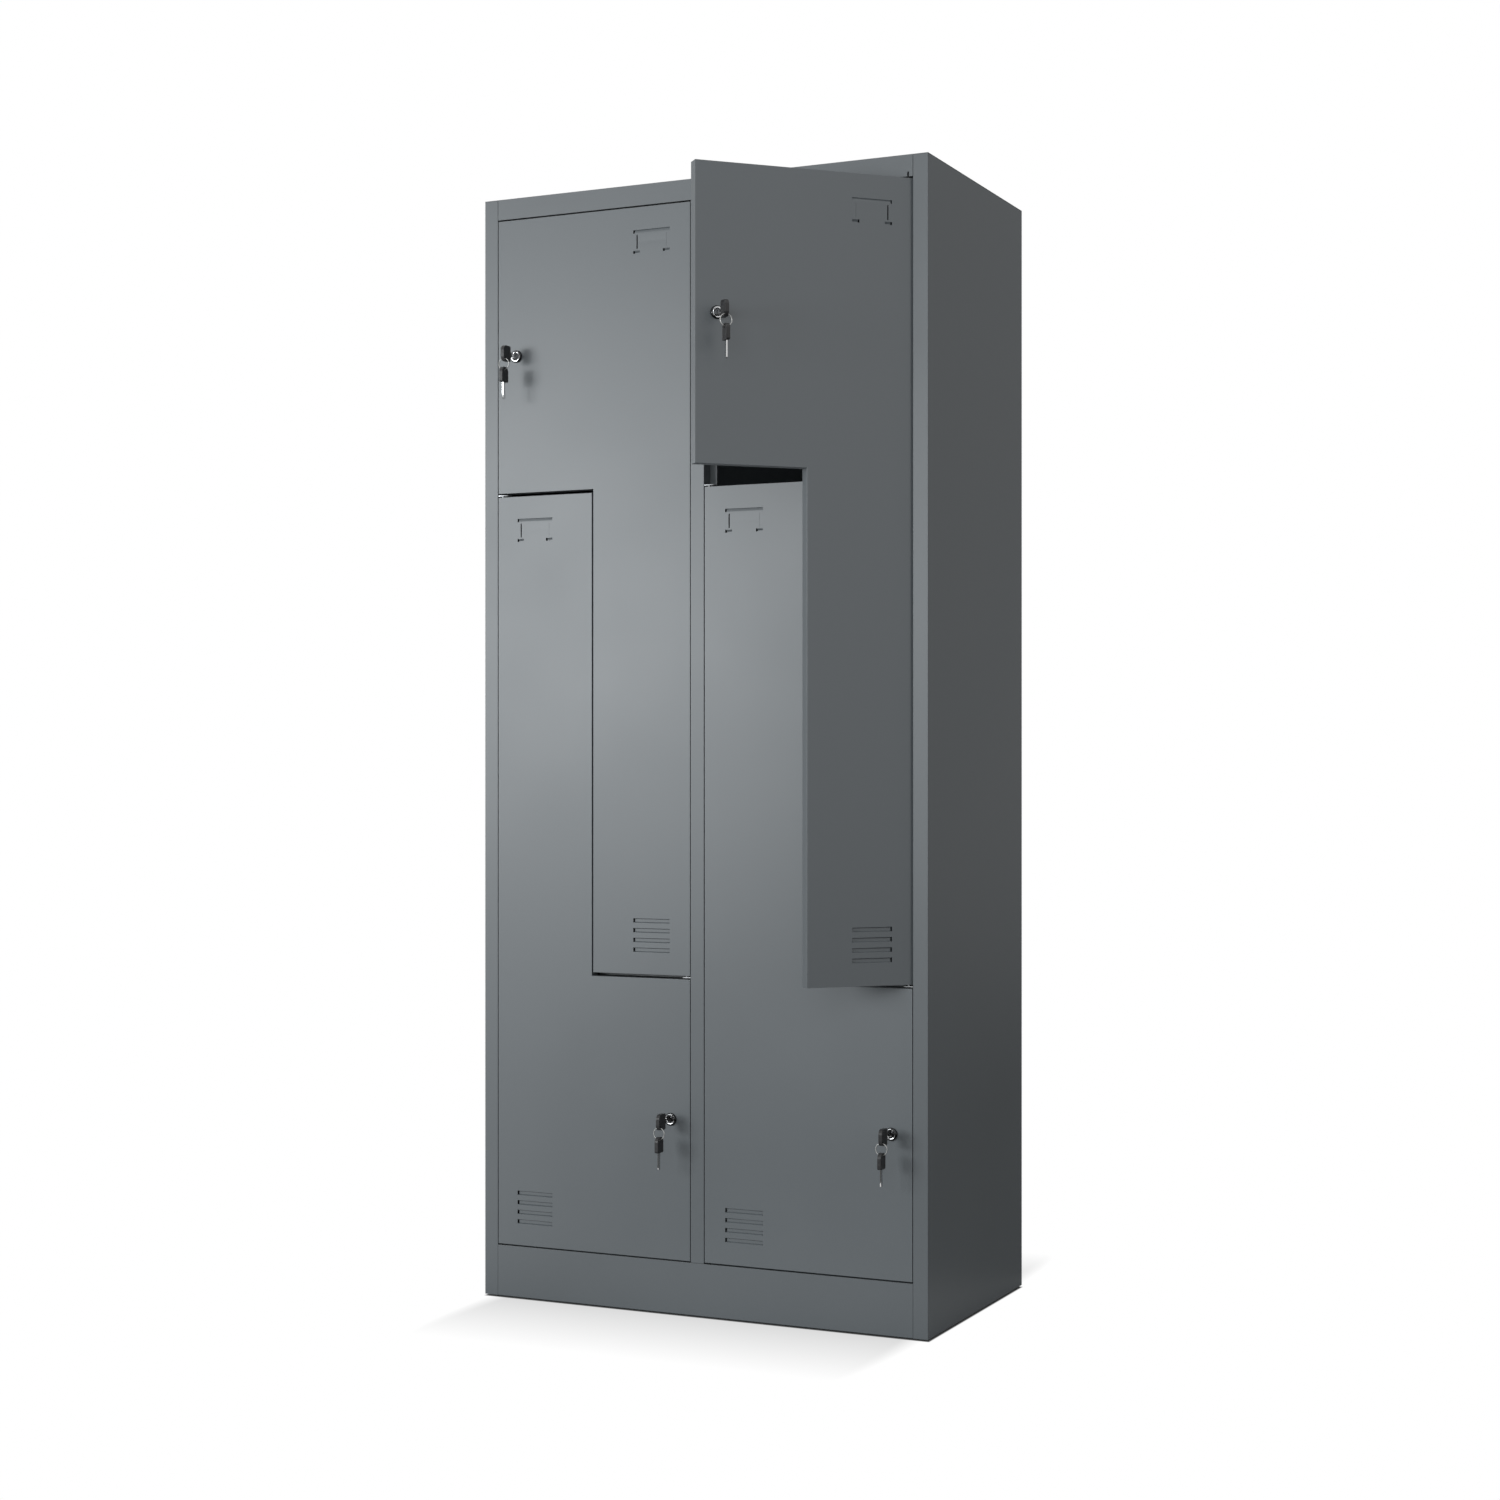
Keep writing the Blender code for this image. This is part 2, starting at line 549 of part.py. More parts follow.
def lock_set(side, level, pivot_x, out, opening):
    """Housing, plug with cam, key, ring and spare key of one door."""
    u, z = lock_place(level == "upper")
    reach = Vector((out * (u - PIVOT_IN), -PIVOT_BACK, 0.0))
    reach.rotate(Matrix.Rotation(opening, 3, "Z"))
    place = (pivot_x + reach.x, FRONT + PIVOT_BACK + reach.y, z)
    tag = f"{level}_{side}"
    lock_housing(tag, place, opening)
    lock_plug(tag, place, opening, out)
    key(tag, place, opening)
    hang = Vector((0.0, -RING_OUT, 0.0))
    hang.rotate(Matrix.Rotation(opening, 3, "Z"))
    ring_at = (place[0] + hang.x, place[1] + hang.y, place[2] - RING_DROP)
    key_ring(tag, ring_at, opening)
    spare_key(tag, (ring_at[0], ring_at[1], ring_at[2] - 2 * RING_R), opening)


def lock_housing(tag, place, opening):
    """Chrome collar, threaded barrel and hexagon nut, bored for the plug."""
    nut = LOCK_BODY_R + 0.0022
    bore = PLUG_R + 0.0004
    seat, nut0, nut1, end = -0.0003, SHEET + 0.0004, SHEET + 0.0050, CAM_BACK - 0.0008
    outside = [(LOCK_FACE_R - 0.0022, -LOCK_PROUD), (LOCK_FACE_R - 0.0006, -LOCK_PROUD + 0.0007),
               (LOCK_FACE_R, -LOCK_PROUD + 0.0022), (LOCK_FACE_R, seat), (LOCK_BODY_R, seat),
               (LOCK_BODY_R, nut0), (nut, nut0), (nut, nut1), (LOCK_BODY_R, nut1), (LOCK_BODY_R, end)]
    inside = [(bore, end), (bore, -LOCK_PROUD + 0.0006), (bore + 0.0006, -LOCK_PROUD)]
    bm = bmesh.new()
    rings = []
    for k, (radius, depth) in enumerate(outside + inside):
        ring = []
        for i in range(24):
            angle = 2 * math.pi * i / 24
            r = radius * (hexagon(angle) if k in (6, 7) else 1.0)
            ring.append(bm.verts.new((r * math.cos(angle), depth, r * math.sin(angle))))
        rings.append(ring)
    bridge(bm, rings, closed_end=True)
    finish(bm, "lock_housing_" + tag, "chrome", place, opening)


def lock_plug(tag, place, opening, out):
    """Turning plug with its keyway and the cam on its end."""
    profile = [(PLUG_R - 0.0004, -LOCK_PROUD + 0.0002), (PLUG_R, -LOCK_PROUD + 0.0008),
               (PLUG_R, CAM_BACK + 0.0010)]
    bm = bmesh.new()
    rings = [[bm.verts.new((r * math.cos(a), d, r * math.sin(a))) for a in
              (2 * math.pi * (i + 0.5) / 20 for i in range(20))] for r, d in profile]
    bridge(bm, rings)
    bm.faces.new(rings[0])
    bm.faces.new(list(reversed(rings[-1])))
    plug = finish(bm, "lock_plug_" + tag, "zinc", place, opening)
    arm = bmesh.new()
    half, tip = 0.0080, 0.0060
    arc = [(half * math.cos(a), half * math.sin(a)) for a in (math.pi + math.pi * i / 8 for i in range(9))]
    outline = arc + [(half, 0.012), (tip, CAM_REACH - 0.003), (tip - 0.003, CAM_REACH),
                     (-tip + 0.003, CAM_REACH), (-tip, CAM_REACH - 0.003), (-half, 0.012)]
    prism(arm, outline, CAM_BACK, CAM_BACK + CAM_THICK, lambda a, b, h: (a, h, b))
    boolean(plug, arm, "UNION")
    keyway = bmesh.new()
    box(keyway, (-0.0014, -0.010, -0.0043), (0.0014, 0.0185, 0.0043))
    boolean(plug, keyway).name = plug.name + "_keyway"
    return plug


def rounded(width, height, radius, steps=3):
    """A rounded rectangle about the origin."""
    points = []
    for cx, cy, start in ((1, 1, 0), (-1, 1, 1), (-1, -1, 2), (1, -1, 3)):
        for i in range(steps + 1):
            angle = math.pi / 2 * (start + i / steps)
            points.append((cx * (width / 2 - radius) + radius * math.cos(angle),
                           cy * (height / 2 - radius) + radius * math.sin(angle)))
    return points


def holed_plate(bm, outline, hole, radius, half, place, sides=12):
    """A flat plate with one round hole; place maps (a, b, across) to a point."""
    faces = []
    for side in (-half, half):
        outer = [bm.verts.new(place(a, b, side)) for a, b in outline]
        inner = [bm.verts.new(place(hole[0] + radius * math.cos(2 * math.pi * i / sides),
                                    hole[1] + radius * math.sin(2 * math.pi * i / sides), side))
                 for i in range(sides)]
        fill(bm, [outer, inner])
        faces.append((outer, inner))
    bridge(bm, [faces[0][0], faces[1][0]])
    bridge(bm, [faces[0][1], faces[1][1]])


def key(tag, place, opening):
    """Key in the plug: flat bow in the upright plane of the lock axis, and its blade."""
    length = BOW_TO - BOW_FROM
    middle = -(BOW_FROM + BOW_TO) / 2
    outline = [(a + middle, b) for a, b in rounded(length, BOW_HIGH, 0.0065)]
    bm = bmesh.new()
    holed_plate(bm, outline, (-RING_OUT, HOLE_OFF - RING_DROP), KEY_HOLE_R, KEY_THICK / 2,
                lambda a, b, s: (s, a, b))
    handle = finish(bm, "key_" + tag, "key_plastic", place, opening)
    blade = bmesh.new()
    box(blade, (-0.0010, -BOW_FROM - 0.0020, -0.0039), (0.0010, 0.0178, 0.0039))
    boolean(handle, blade, "UNION")
    return handle


def key_ring(tag, place, opening):
    """Ring through the bow's hole; its origin is the swing axis in that hole."""
    bm = bmesh.new()
    rings = []
    for i in range(20):
        around = 2 * math.pi * i / 20
        ring = []
        for j in range(6):
            tube = 2 * math.pi * j / 6
            r = RING_R + RING_WIRE * math.cos(tube)
            ring.append(bm.verts.new((r * math.sin(around), RING_WIRE * math.sin(tube),
                                      r * math.cos(around) - RING_R)))
        rings.append(ring)
    bridge(bm, rings, closed_end=True)
    finish(bm, "key_ring_" + tag, "steel_key", place, opening)


def spare_key(tag, place, opening):
    """Spare key hanging on the ring's lowest point, where its origin is."""
    wide, high = SPARE_HEAD
    drop = high / 2 - 0.0050 + HOLE_OFF
    outline = [(a, b - drop) for a, b in rounded(wide, high, 0.0060)]
    bm = bmesh.new()
    holed_plate(bm, outline, (0, -HOLE_OFF), KEY_HOLE_R, KEY_THICK / 2, lambda a, b, s: (s, a, b))
    head = finish(bm, "spare_key_" + tag, "key_plastic", place, opening)
    low = -drop - high / 2
    blade = bmesh.new()
    prism(blade, [(-0.0031, low + 0.002), (-0.0031, low - SPARE_BLADE + 0.003), (-0.0012, low - SPARE_BLADE),
                  (0.0010, low - SPARE_BLADE), (0.0031, low - SPARE_BLADE + 0.003), (0.0031, low + 0.002)],
          -0.0010, 0.0010, lambda a, b, h: (h, a, b))
    boolean(head, blade, "UNION")
    return head


# Hanging rails.
def rails():
    """A flanged tube in each compartment for coat hangers."""
    y = FRONT + DEPTH * 0.52
    inner, centre, middle = WIDTH / 2 - SHEET - SEAM, SHEET / 2 + SEAM, COLUMN
    for side, sign in (("left", -1), ("right", 1)):
        lower = (middle + SHEET / 2 + SEAM, inner) if sign < 0 else (centre, middle - SHEET / 2 - SEAM)
        for level, (x0, x1), z in (("upper", (centre, inner), HEIGHT - 0.075),
                                   ("lower", lower, UPPER_SHELF_Z - 0.055)):
            a, b = sorted((sign * x0, sign * x1))
            half = (b - a) / 2
            bm = bmesh.new()
            revolve(bm, [(0.016, -half), (0.016, -half + 0.002), (0.009, -half + 0.002), (0.009, half - 0.002),
                         (0.016, half - 0.002), (0.016, half)], 12)
            bmesh.ops.rotate(bm, verts=bm.verts, matrix=Matrix.Rotation(math.pi / 2, 3, "Y"))
            finish(bm, f"hanging_rail_{level}_{side}", "zinc", ((a + b) / 2, y, z))


# The cabinet.
def build():
    """Clear the scene and make every piece."""
    for obj in list(bpy.data.objects):
        bpy.data.objects.remove(obj, do_unlink=True)
    for sign in (-1, 1):
        side_panel(sign)
        front_stile(sign)
    top_panel()
    plinth()
    centre_post()
    back_and_floor()
    for side, sign in (("left", -1), ("right", 1)):
        column_divider(side, sign)
    feet()
    hinge_plates()
    step_brackets()
    near, far = POST / 2 + DOOR_GAP + PIVOT_IN, OPENING[1] - DOOR_GAP - PIVOT_IN
    for side, level, pivot_x, out, opening in (("left", "upper", -near, -1, 0.0),
                                               ("right", "upper", far, -1, OPEN_ANGLE),
                                               ("left", "lower", -far, 1, 0.0),
                                               ("right", "lower", near, 1, 0.0)):
        door(side, level, pivot_x, out, opening)
        lock_set(side, level, pivot_x, out, opening)
    rails()


build()
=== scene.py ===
"""Finishes the four-door steel locker around its CAD frame: sheets, doors, locks, keys and studio."""

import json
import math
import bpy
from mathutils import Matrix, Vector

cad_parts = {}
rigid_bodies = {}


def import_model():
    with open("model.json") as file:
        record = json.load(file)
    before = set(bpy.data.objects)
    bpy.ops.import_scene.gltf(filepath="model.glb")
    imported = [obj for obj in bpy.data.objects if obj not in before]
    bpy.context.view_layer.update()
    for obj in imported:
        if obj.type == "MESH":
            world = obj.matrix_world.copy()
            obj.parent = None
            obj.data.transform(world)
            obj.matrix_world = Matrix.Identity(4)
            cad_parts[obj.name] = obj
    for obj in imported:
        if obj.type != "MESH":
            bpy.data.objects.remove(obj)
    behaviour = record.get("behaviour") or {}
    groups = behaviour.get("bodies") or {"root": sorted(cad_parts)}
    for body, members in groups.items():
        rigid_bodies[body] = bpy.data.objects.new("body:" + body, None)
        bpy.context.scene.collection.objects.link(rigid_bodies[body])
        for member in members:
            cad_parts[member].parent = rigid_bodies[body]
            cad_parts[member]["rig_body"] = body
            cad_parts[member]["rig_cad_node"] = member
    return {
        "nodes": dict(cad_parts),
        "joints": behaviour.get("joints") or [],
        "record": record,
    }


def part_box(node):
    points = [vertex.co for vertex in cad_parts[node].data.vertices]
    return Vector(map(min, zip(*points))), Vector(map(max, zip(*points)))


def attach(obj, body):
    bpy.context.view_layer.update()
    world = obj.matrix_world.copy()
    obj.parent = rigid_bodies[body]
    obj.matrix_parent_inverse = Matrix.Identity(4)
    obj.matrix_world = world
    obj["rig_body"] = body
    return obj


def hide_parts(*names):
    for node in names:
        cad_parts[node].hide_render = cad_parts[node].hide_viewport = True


bl_info = {
    "name": "Four-Door Steel Locker",
    "version": (1, 0, 0),
    "blender": (4, 2, 0),
    "location": "View3D > Sidebar > Locker",
    "description": "Powder-coated locker cabinet with L-shaped doors, cam locks and hanging keys",
    "category": "Object",
}

import bmesh
import bpy
from mathutils import Matrix, Vector

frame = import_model()
NODES = frame["nodes"]
BODY = {node: body for body, nodes in frame["record"]["behaviour"]["bodies"].items() for node in nodes}
JOINTS = {joint["name"]: joint for joint in frame["joints"]}
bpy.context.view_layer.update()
DOORS = ("upper_left", "upper_right", "lower_left", "lower_right")
DOOR_FACE = JOINTS["upper_left_lock_turn"]["pos_m"][1]


# Settings a user would change.
class PaintSettings(bpy.types.PropertyGroup):
    """Powder coat of the case and the doors."""

    coat: bpy.props.FloatVectorProperty(
        name="Coat", description="Colour of the powder coat", subtype="COLOR", size=3,
        min=0.0, max=1.0, default=(0.145, 0.163, 0.175))
    inside: bpy.props.FloatVectorProperty(
        name="Inside coat", description="Thinner coat on the sheets inside", subtype="COLOR", size=3,
        min=0.0, max=1.0, default=(0.125, 0.140, 0.151))
    gloss: bpy.props.FloatProperty(
        name="Roughness", description="Roughness of the satin coat", min=0.0, max=1.0,
        default=0.39, subtype="FACTOR")
    shine: bpy.props.FloatProperty(
        name="Shine", description="Specular level of the satin coat", min=0.0, max=1.0,
        default=0.82, subtype="FACTOR")
    fold: bpy.props.FloatProperty(
        name="Fold radius", description="Outer radius of the folded edges", min=0.0002, max=0.003,
        default=0.0005, unit="LENGTH")
    stop: bpy.props.FloatProperty(
        name="Stop flange", description="Width of the flanges that the doors close on", min=0.004,
        max=0.02, default=0.012, unit="LENGTH")
    wear: bpy.props.FloatProperty(
        name="Edge wear", description="How much lighter the coat is where it thins on a fold",
        min=0.0, max=1.0, default=0.16, subtype="FACTOR")


class LockSettings(bpy.types.PropertyGroup):
    """Cam locks and their keys."""

    collar: bpy.props.FloatProperty(
        name="Collar radius", description="Outer radius of the chrome collar", min=0.006, max=0.015,
        default=0.0104, unit="LENGTH")
    proud: bpy.props.FloatProperty(
        name="Collar height", description="How far the collar stands out from the door", min=0.001,
        max=0.008, default=0.0040, unit="LENGTH")
    ring_wire: bpy.props.FloatProperty(
        name="Ring wire", description="Radius of the split ring's wire", min=0.0002, max=0.001,
        default=0.00055, unit="LENGTH")
    seat: bpy.props.FloatProperty(
        name="Ring seat", description="How far the ring's wire lies off the middle of a key's hole",
        min=0.0, max=0.002, default=0.0007, unit="LENGTH")
    head: bpy.props.FloatVectorProperty(
        name="Key head", description="Colour of the moulded key heads", subtype="COLOR", size=3,
        min=0.0, max=1.0, default=(0.020, 0.020, 0.021))


class StudioSettings(bpy.types.PropertyGroup):
    """Floor, lamps and camera."""

    floor: bpy.props.FloatVectorProperty(
        name="Floor", description="Colour of the studio floor", subtype="COLOR", size=3,
        min=0.0, max=1.0, default=(0.34, 0.34, 0.34))
    # The floor is painted grey beside the locker by lowering its glow there: a painted shadow, reaching out as
    # far as fade.
    glow: bpy.props.FloatProperty(
        name="Floor glow", description="How white the floor is seen right beside the locker", min=0.0,
        max=1.0, default=0.66, subtype="FACTOR")
    fade: bpy.props.FloatProperty(
        name="Shadow reach", description="How far the grey beside the locker reaches out", min=0.01,
        max=3.0, default=0.29, unit="LENGTH")
    # Reflections see the floor without its glow near the locker: painted shade in the reflected floor.
    reflected: bpy.props.FloatProperty(
        name="Dull floor", description="How far out the locker's reflections see the floor dulled", min=0.01,
        max=3.0, default=0.6, unit="LENGTH")
    key_power: bpy.props.FloatProperty(
        name="Key lamp", description="Power of the soft lamp at the front left", min=0.0,
        default=47.0, unit="POWER")
    broad_power: bpy.props.FloatProperty(
        name="Broad lamp", description="Power of the wide lamp beside the key lamp", min=0.0,
        default=43.0, unit="POWER")
    front_power: bpy.props.FloatProperty(
        name="Front lamp", description="Power of the large weak lamp in front", min=0.0,
        default=36.0, unit="POWER")
    edge_power: bpy.props.FloatProperty(
        name="Edge lamp", description="Power of the lamp behind the left side, on an open door's edge", min=0.0,
        default=12.0, unit="POWER")
    sky: bpy.props.FloatProperty(
        name="Room light", description="Strength of the even light from above and behind", min=0.0,
        max=2.0, default=0.26)
    drape: bpy.props.FloatProperty(
        name="Grey drape", description="Brightness of the grey drape round the room", min=0.0,
        max=1.0, default=0.28)
    panel: bpy.props.FloatProperty(
        name="Pale panel", description="Brightness of the pale panel at the right of the drape", min=0.0,
        max=2.0, default=0.85)
    cloth: bpy.props.FloatProperty(
        name="Dark cloth", description="Brightness of the dark cloth on the floor round the object",
        min=0.0, max=1.0, default=0.08)


GROUPS = {"locker_paint": PaintSettings, "locker_locks": LockSettings, "locker_studio": StudioSettings}


# Handling objects and edit mode.
def deselect():
    """Leave edit mode and select nothing."""
    if bpy.context.object and bpy.context.object.mode != "OBJECT":
        bpy.ops.object.mode_set(mode="OBJECT")
    bpy.ops.object.select_all(action="DESELECT")


def pick(piece):
    """Make piece the only selected object."""
    deselect()
    piece.select_set(True)
    bpy.context.view_layer.objects.active = piece


def edit(piece, mode="FACE"):
    """Open piece in edit mode with nothing selected and give its bmesh."""
    pick(piece)
    bpy.ops.object.mode_set(mode="EDIT")
    bpy.ops.mesh.select_mode(type=mode)
    bpy.ops.mesh.select_all(action="DESELECT")
    return bmesh.from_edit_mesh(piece.data)


def select(piece, kind, test):
    """Select the faces, edges or points of the open piece that pass a test. Gives their number."""
    bm = bmesh.from_edit_mesh(piece.data)
    found = [item for item in getattr(bm, kind) if test(item)]
    for item in found:
        item.select_set(True)
    bmesh.update_edit_mesh(piece.data)
    return len(found)


def apply_modifier(piece, kind, **values):
    """Add a modifier with these values and apply it."""
    pick(piece)
    bpy.ops.object.modifier_add(type=kind)
    modifier = piece.modifiers[-1]
    for key, value in values.items():
        setattr(modifier, key, value)
    bpy.ops.object.modifier_apply(modifier=modifier.name)


def place_mesh(piece, matrix):
    """Put the place of a piece into its mesh."""
    piece.data.transform(matrix @ piece.matrix_world)
    piece.matrix_world = Matrix.Identity(4)
    piece.data.update()


def join(pieces, name):
    """Join pieces into one object of this name."""
    deselect()
    for piece in pieces:
        piece.select_set(True)
    bpy.context.view_layer.objects.active = pieces[0]
    bpy.ops.object.join()
    piece = bpy.context.object
    piece.name = piece.data.name = name
    return piece


def new_mesh(name, mode="VERT"):
    """An empty mesh object, left open in edit mode. Gives the object and its bmesh."""
    deselect()
    bpy.ops.mesh.primitive_plane_add(size=1.0, location=(0, 0, 0))
    piece = bpy.context.object
    piece.name = piece.data.name = name
    bm = edit(piece, mode)
    bmesh.ops.delete(bm, geom=list(bm.verts), context="VERTS")
    return piece, bm


def smooth(piece, degrees=35.0, weighted=True):
    """Shade round parts smooth and keep flat faces flat."""
    pick(piece)
    bpy.ops.object.shade_smooth_by_angle(angle=math.radians(degrees))
    if weighted:
        apply_modifier(piece, "WEIGHTED_NORMAL", mode="FACE_AREA", weight=100, keep_sharp=True)


def copy_of(node, name):
    """A copy of a CAD node whose loose triangles are merged back into flat faces."""
    pick(NODES[node])
    bpy.ops.object.duplicate()
    piece = bpy.context.object
    piece.name = piece.data.name = name
    piece.parent = None
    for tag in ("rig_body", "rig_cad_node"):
        del piece[tag]
    piece.data.materials.clear()
    edit(piece)
    bpy.ops.mesh.select_all(action="SELECT")
    bpy.ops.mesh.customdata_custom_splitnormals_clear()
    bpy.ops.mesh.remove_doubles(threshold=0.00002)
    bpy.ops.mesh.dissolve_limited(angle_limit=math.radians(0.4))
    bpy.ops.object.mode_set(mode="OBJECT")
    return piece


def finish_piece(piece, node, also=()):
    """Ride on the body of its CAD node and stand for it."""
    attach(piece, BODY[node])
    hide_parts(node, *also)


# Materials.
def adder(tree):
    """A function that adds a node to a tree. Values named in_ set its sockets, others the node itself."""
    def add(kind, **values):
        node = tree.nodes.new(kind)
        for key, value in values.items():
            if key.startswith("in_"):
                node.inputs[key[3:].replace("_", " ")].default_value = value
            else:
                setattr(node, key, value)
        return node

    return add


def new_material(name):
    """A material, with the function that links nodes, its shader and the function that adds nodes."""
    mat = bpy.data.materials.new(name)
    mat.use_nodes = True
    tree = mat.node_tree
    return mat, tree.links.new, tree.nodes["Principled BSDF"], adder(tree)


def noise(add, link, coords, scale, detail=2.0, roughness=0.5):
    """A noise texture on the object's own coordinates, scale in cells per metre."""
    texture = add("ShaderNodeTexNoise", in_Scale=scale, in_Detail=detail, in_Roughness=roughness)
    link(coords, texture.inputs["Vector"])
    return texture.outputs["Fac"]


def spread(add, link, value, low, high, to_low, to_high):
    """Map a value between two limits to another range."""
    node = add("ShaderNodeMapRange", in_From_Min=low, in_From_Max=high, in_To_Min=to_low, in_To_Max=to_high)
    link(value, node.inputs["Value"])
    return node.outputs["Result"]


def combine(add, link, operation, first, second):
    """One value from two."""
    node = add("ShaderNodeMath", operation=operation)
    link(first, node.inputs[0])
    link(second, node.inputs[1])
    return node.outputs[0]


def blend_colours(add, link, factor, first, second):
    """Mix two colours, each a tuple or a socket."""
    node = add("ShaderNodeMix", data_type="RGBA")
    sockets = [s for s in node.inputs if s.type == "RGBA"]
    link(factor, node.inputs["Factor"])
    for socket, colour in zip(sockets, (first, second)):
        if isinstance(colour, tuple):
            socket.default_value = (*colour, 1.0)
        else:
            link(colour, socket)
    return [s for s in node.outputs if s.type == "RGBA"][0]


def bump(add, link, shader, heights):
    """Chain bumps: (height, strength, distance in metres), coarse ones first."""
    normal = None
    for height, strength, distance in heights:
        node = add("ShaderNodeBump", in_Strength=strength, in_Distance=distance)
        link(height, node.inputs["Height"])
        if normal is not None:
            link(normal, node.inputs["Normal"])
        normal = node.outputs["Normal"]
    link(normal, shader.inputs["Normal"])


def times(colour, factor):
    """A colour made lighter or darker."""
    return tuple(min(1.0, c * factor) for c in colour)


def powder_coat(name, colour, roughness, wear=0.0):
    """Satin powder coat: orange peel, fine grain, and slight changes of tone and gloss."""
    mat, link, shader, add = new_material(name)
    shader.inputs["Specular IOR Level"].default_value = bpy.context.scene.locker_paint.shine
    coords = add("ShaderNodeTexCoord").outputs["Object"]
    clouds = noise(add, link, coords, 2.6, 3.0)
    grain = noise(add, link, coords, 1500.0, 1.0)
    peel = noise(add, link, coords, 420.0, 2.0)
    flecks = noise(add, link, coords, 700.0, 3.0, 0.7)
    tone = times(colour, 1.0 + wear)
    broad = blend_colours(add, link, spread(add, link, clouds, 0.3, 0.7, 0.0, 1.0),
                          times(tone, 0.965), times(tone, 1.035))
    fine = blend_colours(add, link, spread(add, link, flecks, 0.62, 0.78, 0.0, 0.22), broad, times(tone, 1.35))
    if wear:
        rub = noise(add, link, coords, 60.0, 4.0, 0.7)
        fine = blend_colours(add, link, spread(add, link, rub, 0.60, 0.74, 0.0, 0.55), fine, times(colour, 1.9))
    link(fine, shader.inputs["Base Color"])
    link(spread(add, link, clouds, 0.3, 0.7, roughness - 0.02, roughness + 0.03), shader.inputs["Roughness"])
    bump(add, link, shader, ((peel, 0.10, 0.00012), (grain, 0.10, 0.00005)))
    return mat


def plated(name, colour, roughness, brushed=0.0, spangle=0.0):
    """Plated metal with fine polishing marks, or the crystals of zinc."""
    mat, link, shader, add = new_material(name)
    coords = add("ShaderNodeTexCoord").outputs["Object"]
    shader.inputs["Metallic"].default_value = 1.0
    stain = noise(add, link, coords, 90.0, 3.0)
    marks = noise(add, link, coords, 2600.0, 2.0)
    shade = blend_colours(add, link, spread(add, link, stain, 0.35, 0.7, 0.0, 1.0), times(colour, 0.93), colour)
    if spangle:
        cells = add("ShaderNodeTexVoronoi", in_Scale=260.0)
        link(coords, cells.inputs["Vector"])
        value = add("ShaderNodeSeparateColor")
        link(cells.outputs["Color"], value.inputs["Color"])
        shade = blend_colours(add, link, spread(add, link, value.outputs["Red"], 0.0, 1.0, 0.0, spangle),
                              shade, times(colour, 0.6))
    link(shade, shader.inputs["Base Color"])
    link(spread(add, link, stain, 0.3, 0.7, roughness * 0.8, roughness * 1.25), shader.inputs["Roughness"])
    bump(add, link, shader, ((marks, 0.04 + brushed, 0.00003),))
    return mat


def moulded(name, colour, roughness, grain=0.25):
    """Moulded plastic or rubber with a fine matt grain and rubbed high spots."""
    mat, link, shader, add = new_material(name)
    shader.inputs["Specular IOR Level"].default_value = 0.5
    coords = add("ShaderNodeTexCoord").outputs["Object"]
    fine = noise(add, link, coords, 2400.0, 2.0)
    handled = noise(add, link, coords, 130.0, 3.0)
    link(blend_colours(add, link, spread(add, link, handled, 0.35, 0.75, 0.0, 1.0), colour, times(colour, 1.7)),
         shader.inputs["Base Color"])
    link(spread(add, link, handled, 0.3, 0.7, roughness - 0.05, roughness + 0.07), shader.inputs["Roughness"])
    bump(add, link, shader, ((fine, grain, 0.00004),))
    return mat


def finishes():
    """Every material of the locker, made once."""
    paint, locks = bpy.context.scene.locker_paint, bpy.context.scene.locker_locks
    coat, inside = tuple(paint.coat), tuple(paint.inside)
    make = {
        # The case coat is the set colour made 4% darker and the door coat 1% lighter: painted shade that tones
        # the case down beside the doors.
        "case_coat": (powder_coat, times(coat, 0.96), paint.gloss),
        # The case's folds are the coat darkened by a third: painted shade along the folded edges.
        "case_fold": (powder_coat, times(coat, 0.66), paint.gloss),
        "door_coat": (powder_coat, times(coat, 1.01), paint.gloss - 0.01),
        "door_fold": (powder_coat, times(coat, 1.01), paint.gloss - 0.07, paint.wear),
        "inside_coat": (powder_coat, inside, paint.gloss + 0.06),
        "inside_fold": (powder_coat, inside, paint.gloss, paint.wear),
        "lock_chrome": (plated, (0.84, 0.85, 0.86), 0.05),
        # Dark metal for the collar's rim: a painted dark reflection of the surroundings.
        "lock_rim": (plated, (0.050, 0.052, 0.054), 0.08),
        # Near-black metal for the lock plug: a painted dark reflection on its face.
        "plug_steel": (plated, (0.085, 0.088, 0.092), 0.10),
        "cam_zinc": (plated, (0.56, 0.57, 0.58), 0.30, 0.04, 0.5),
        "hinge_zinc": (plated, (0.36, 0.37, 0.38), 0.36, 0.05, 0.5),
        # Near-black metal for the hinge plates, so the notch over the pin reads dark: painted shade.
        "pin_black": (plated, (0.020, 0.021, 0.022), 0.42, 0.05, 0.5),
        "rail_zinc": (plated, (0.60, 0.61, 0.62), 0.24, 0.02),
        "key_nickel": (plated, (0.80, 0.80, 0.80), 0.08),
        "ring_steel": (plated, (0.86, 0.87, 0.88), 0.14),
        "key_head": (moulded, tuple(locks.head), 0.40),
        "foot_rubber": (moulded, (0.022, 0.022, 0.022), 0.72, 0.4),
    }
    for name, (maker, *values) in make.items():
        if name not in bpy.data.materials:
            maker(name, *values)
    return bpy.data.materials


# Folded sheets.
def reach(face, edge):
    """How far a face extends from one of its edges."""
    start = edge.verts[0].co
    along = (edge.verts[1].co - start).normalized()
    return max((v.co - start).cross(along).length for v in face.verts)


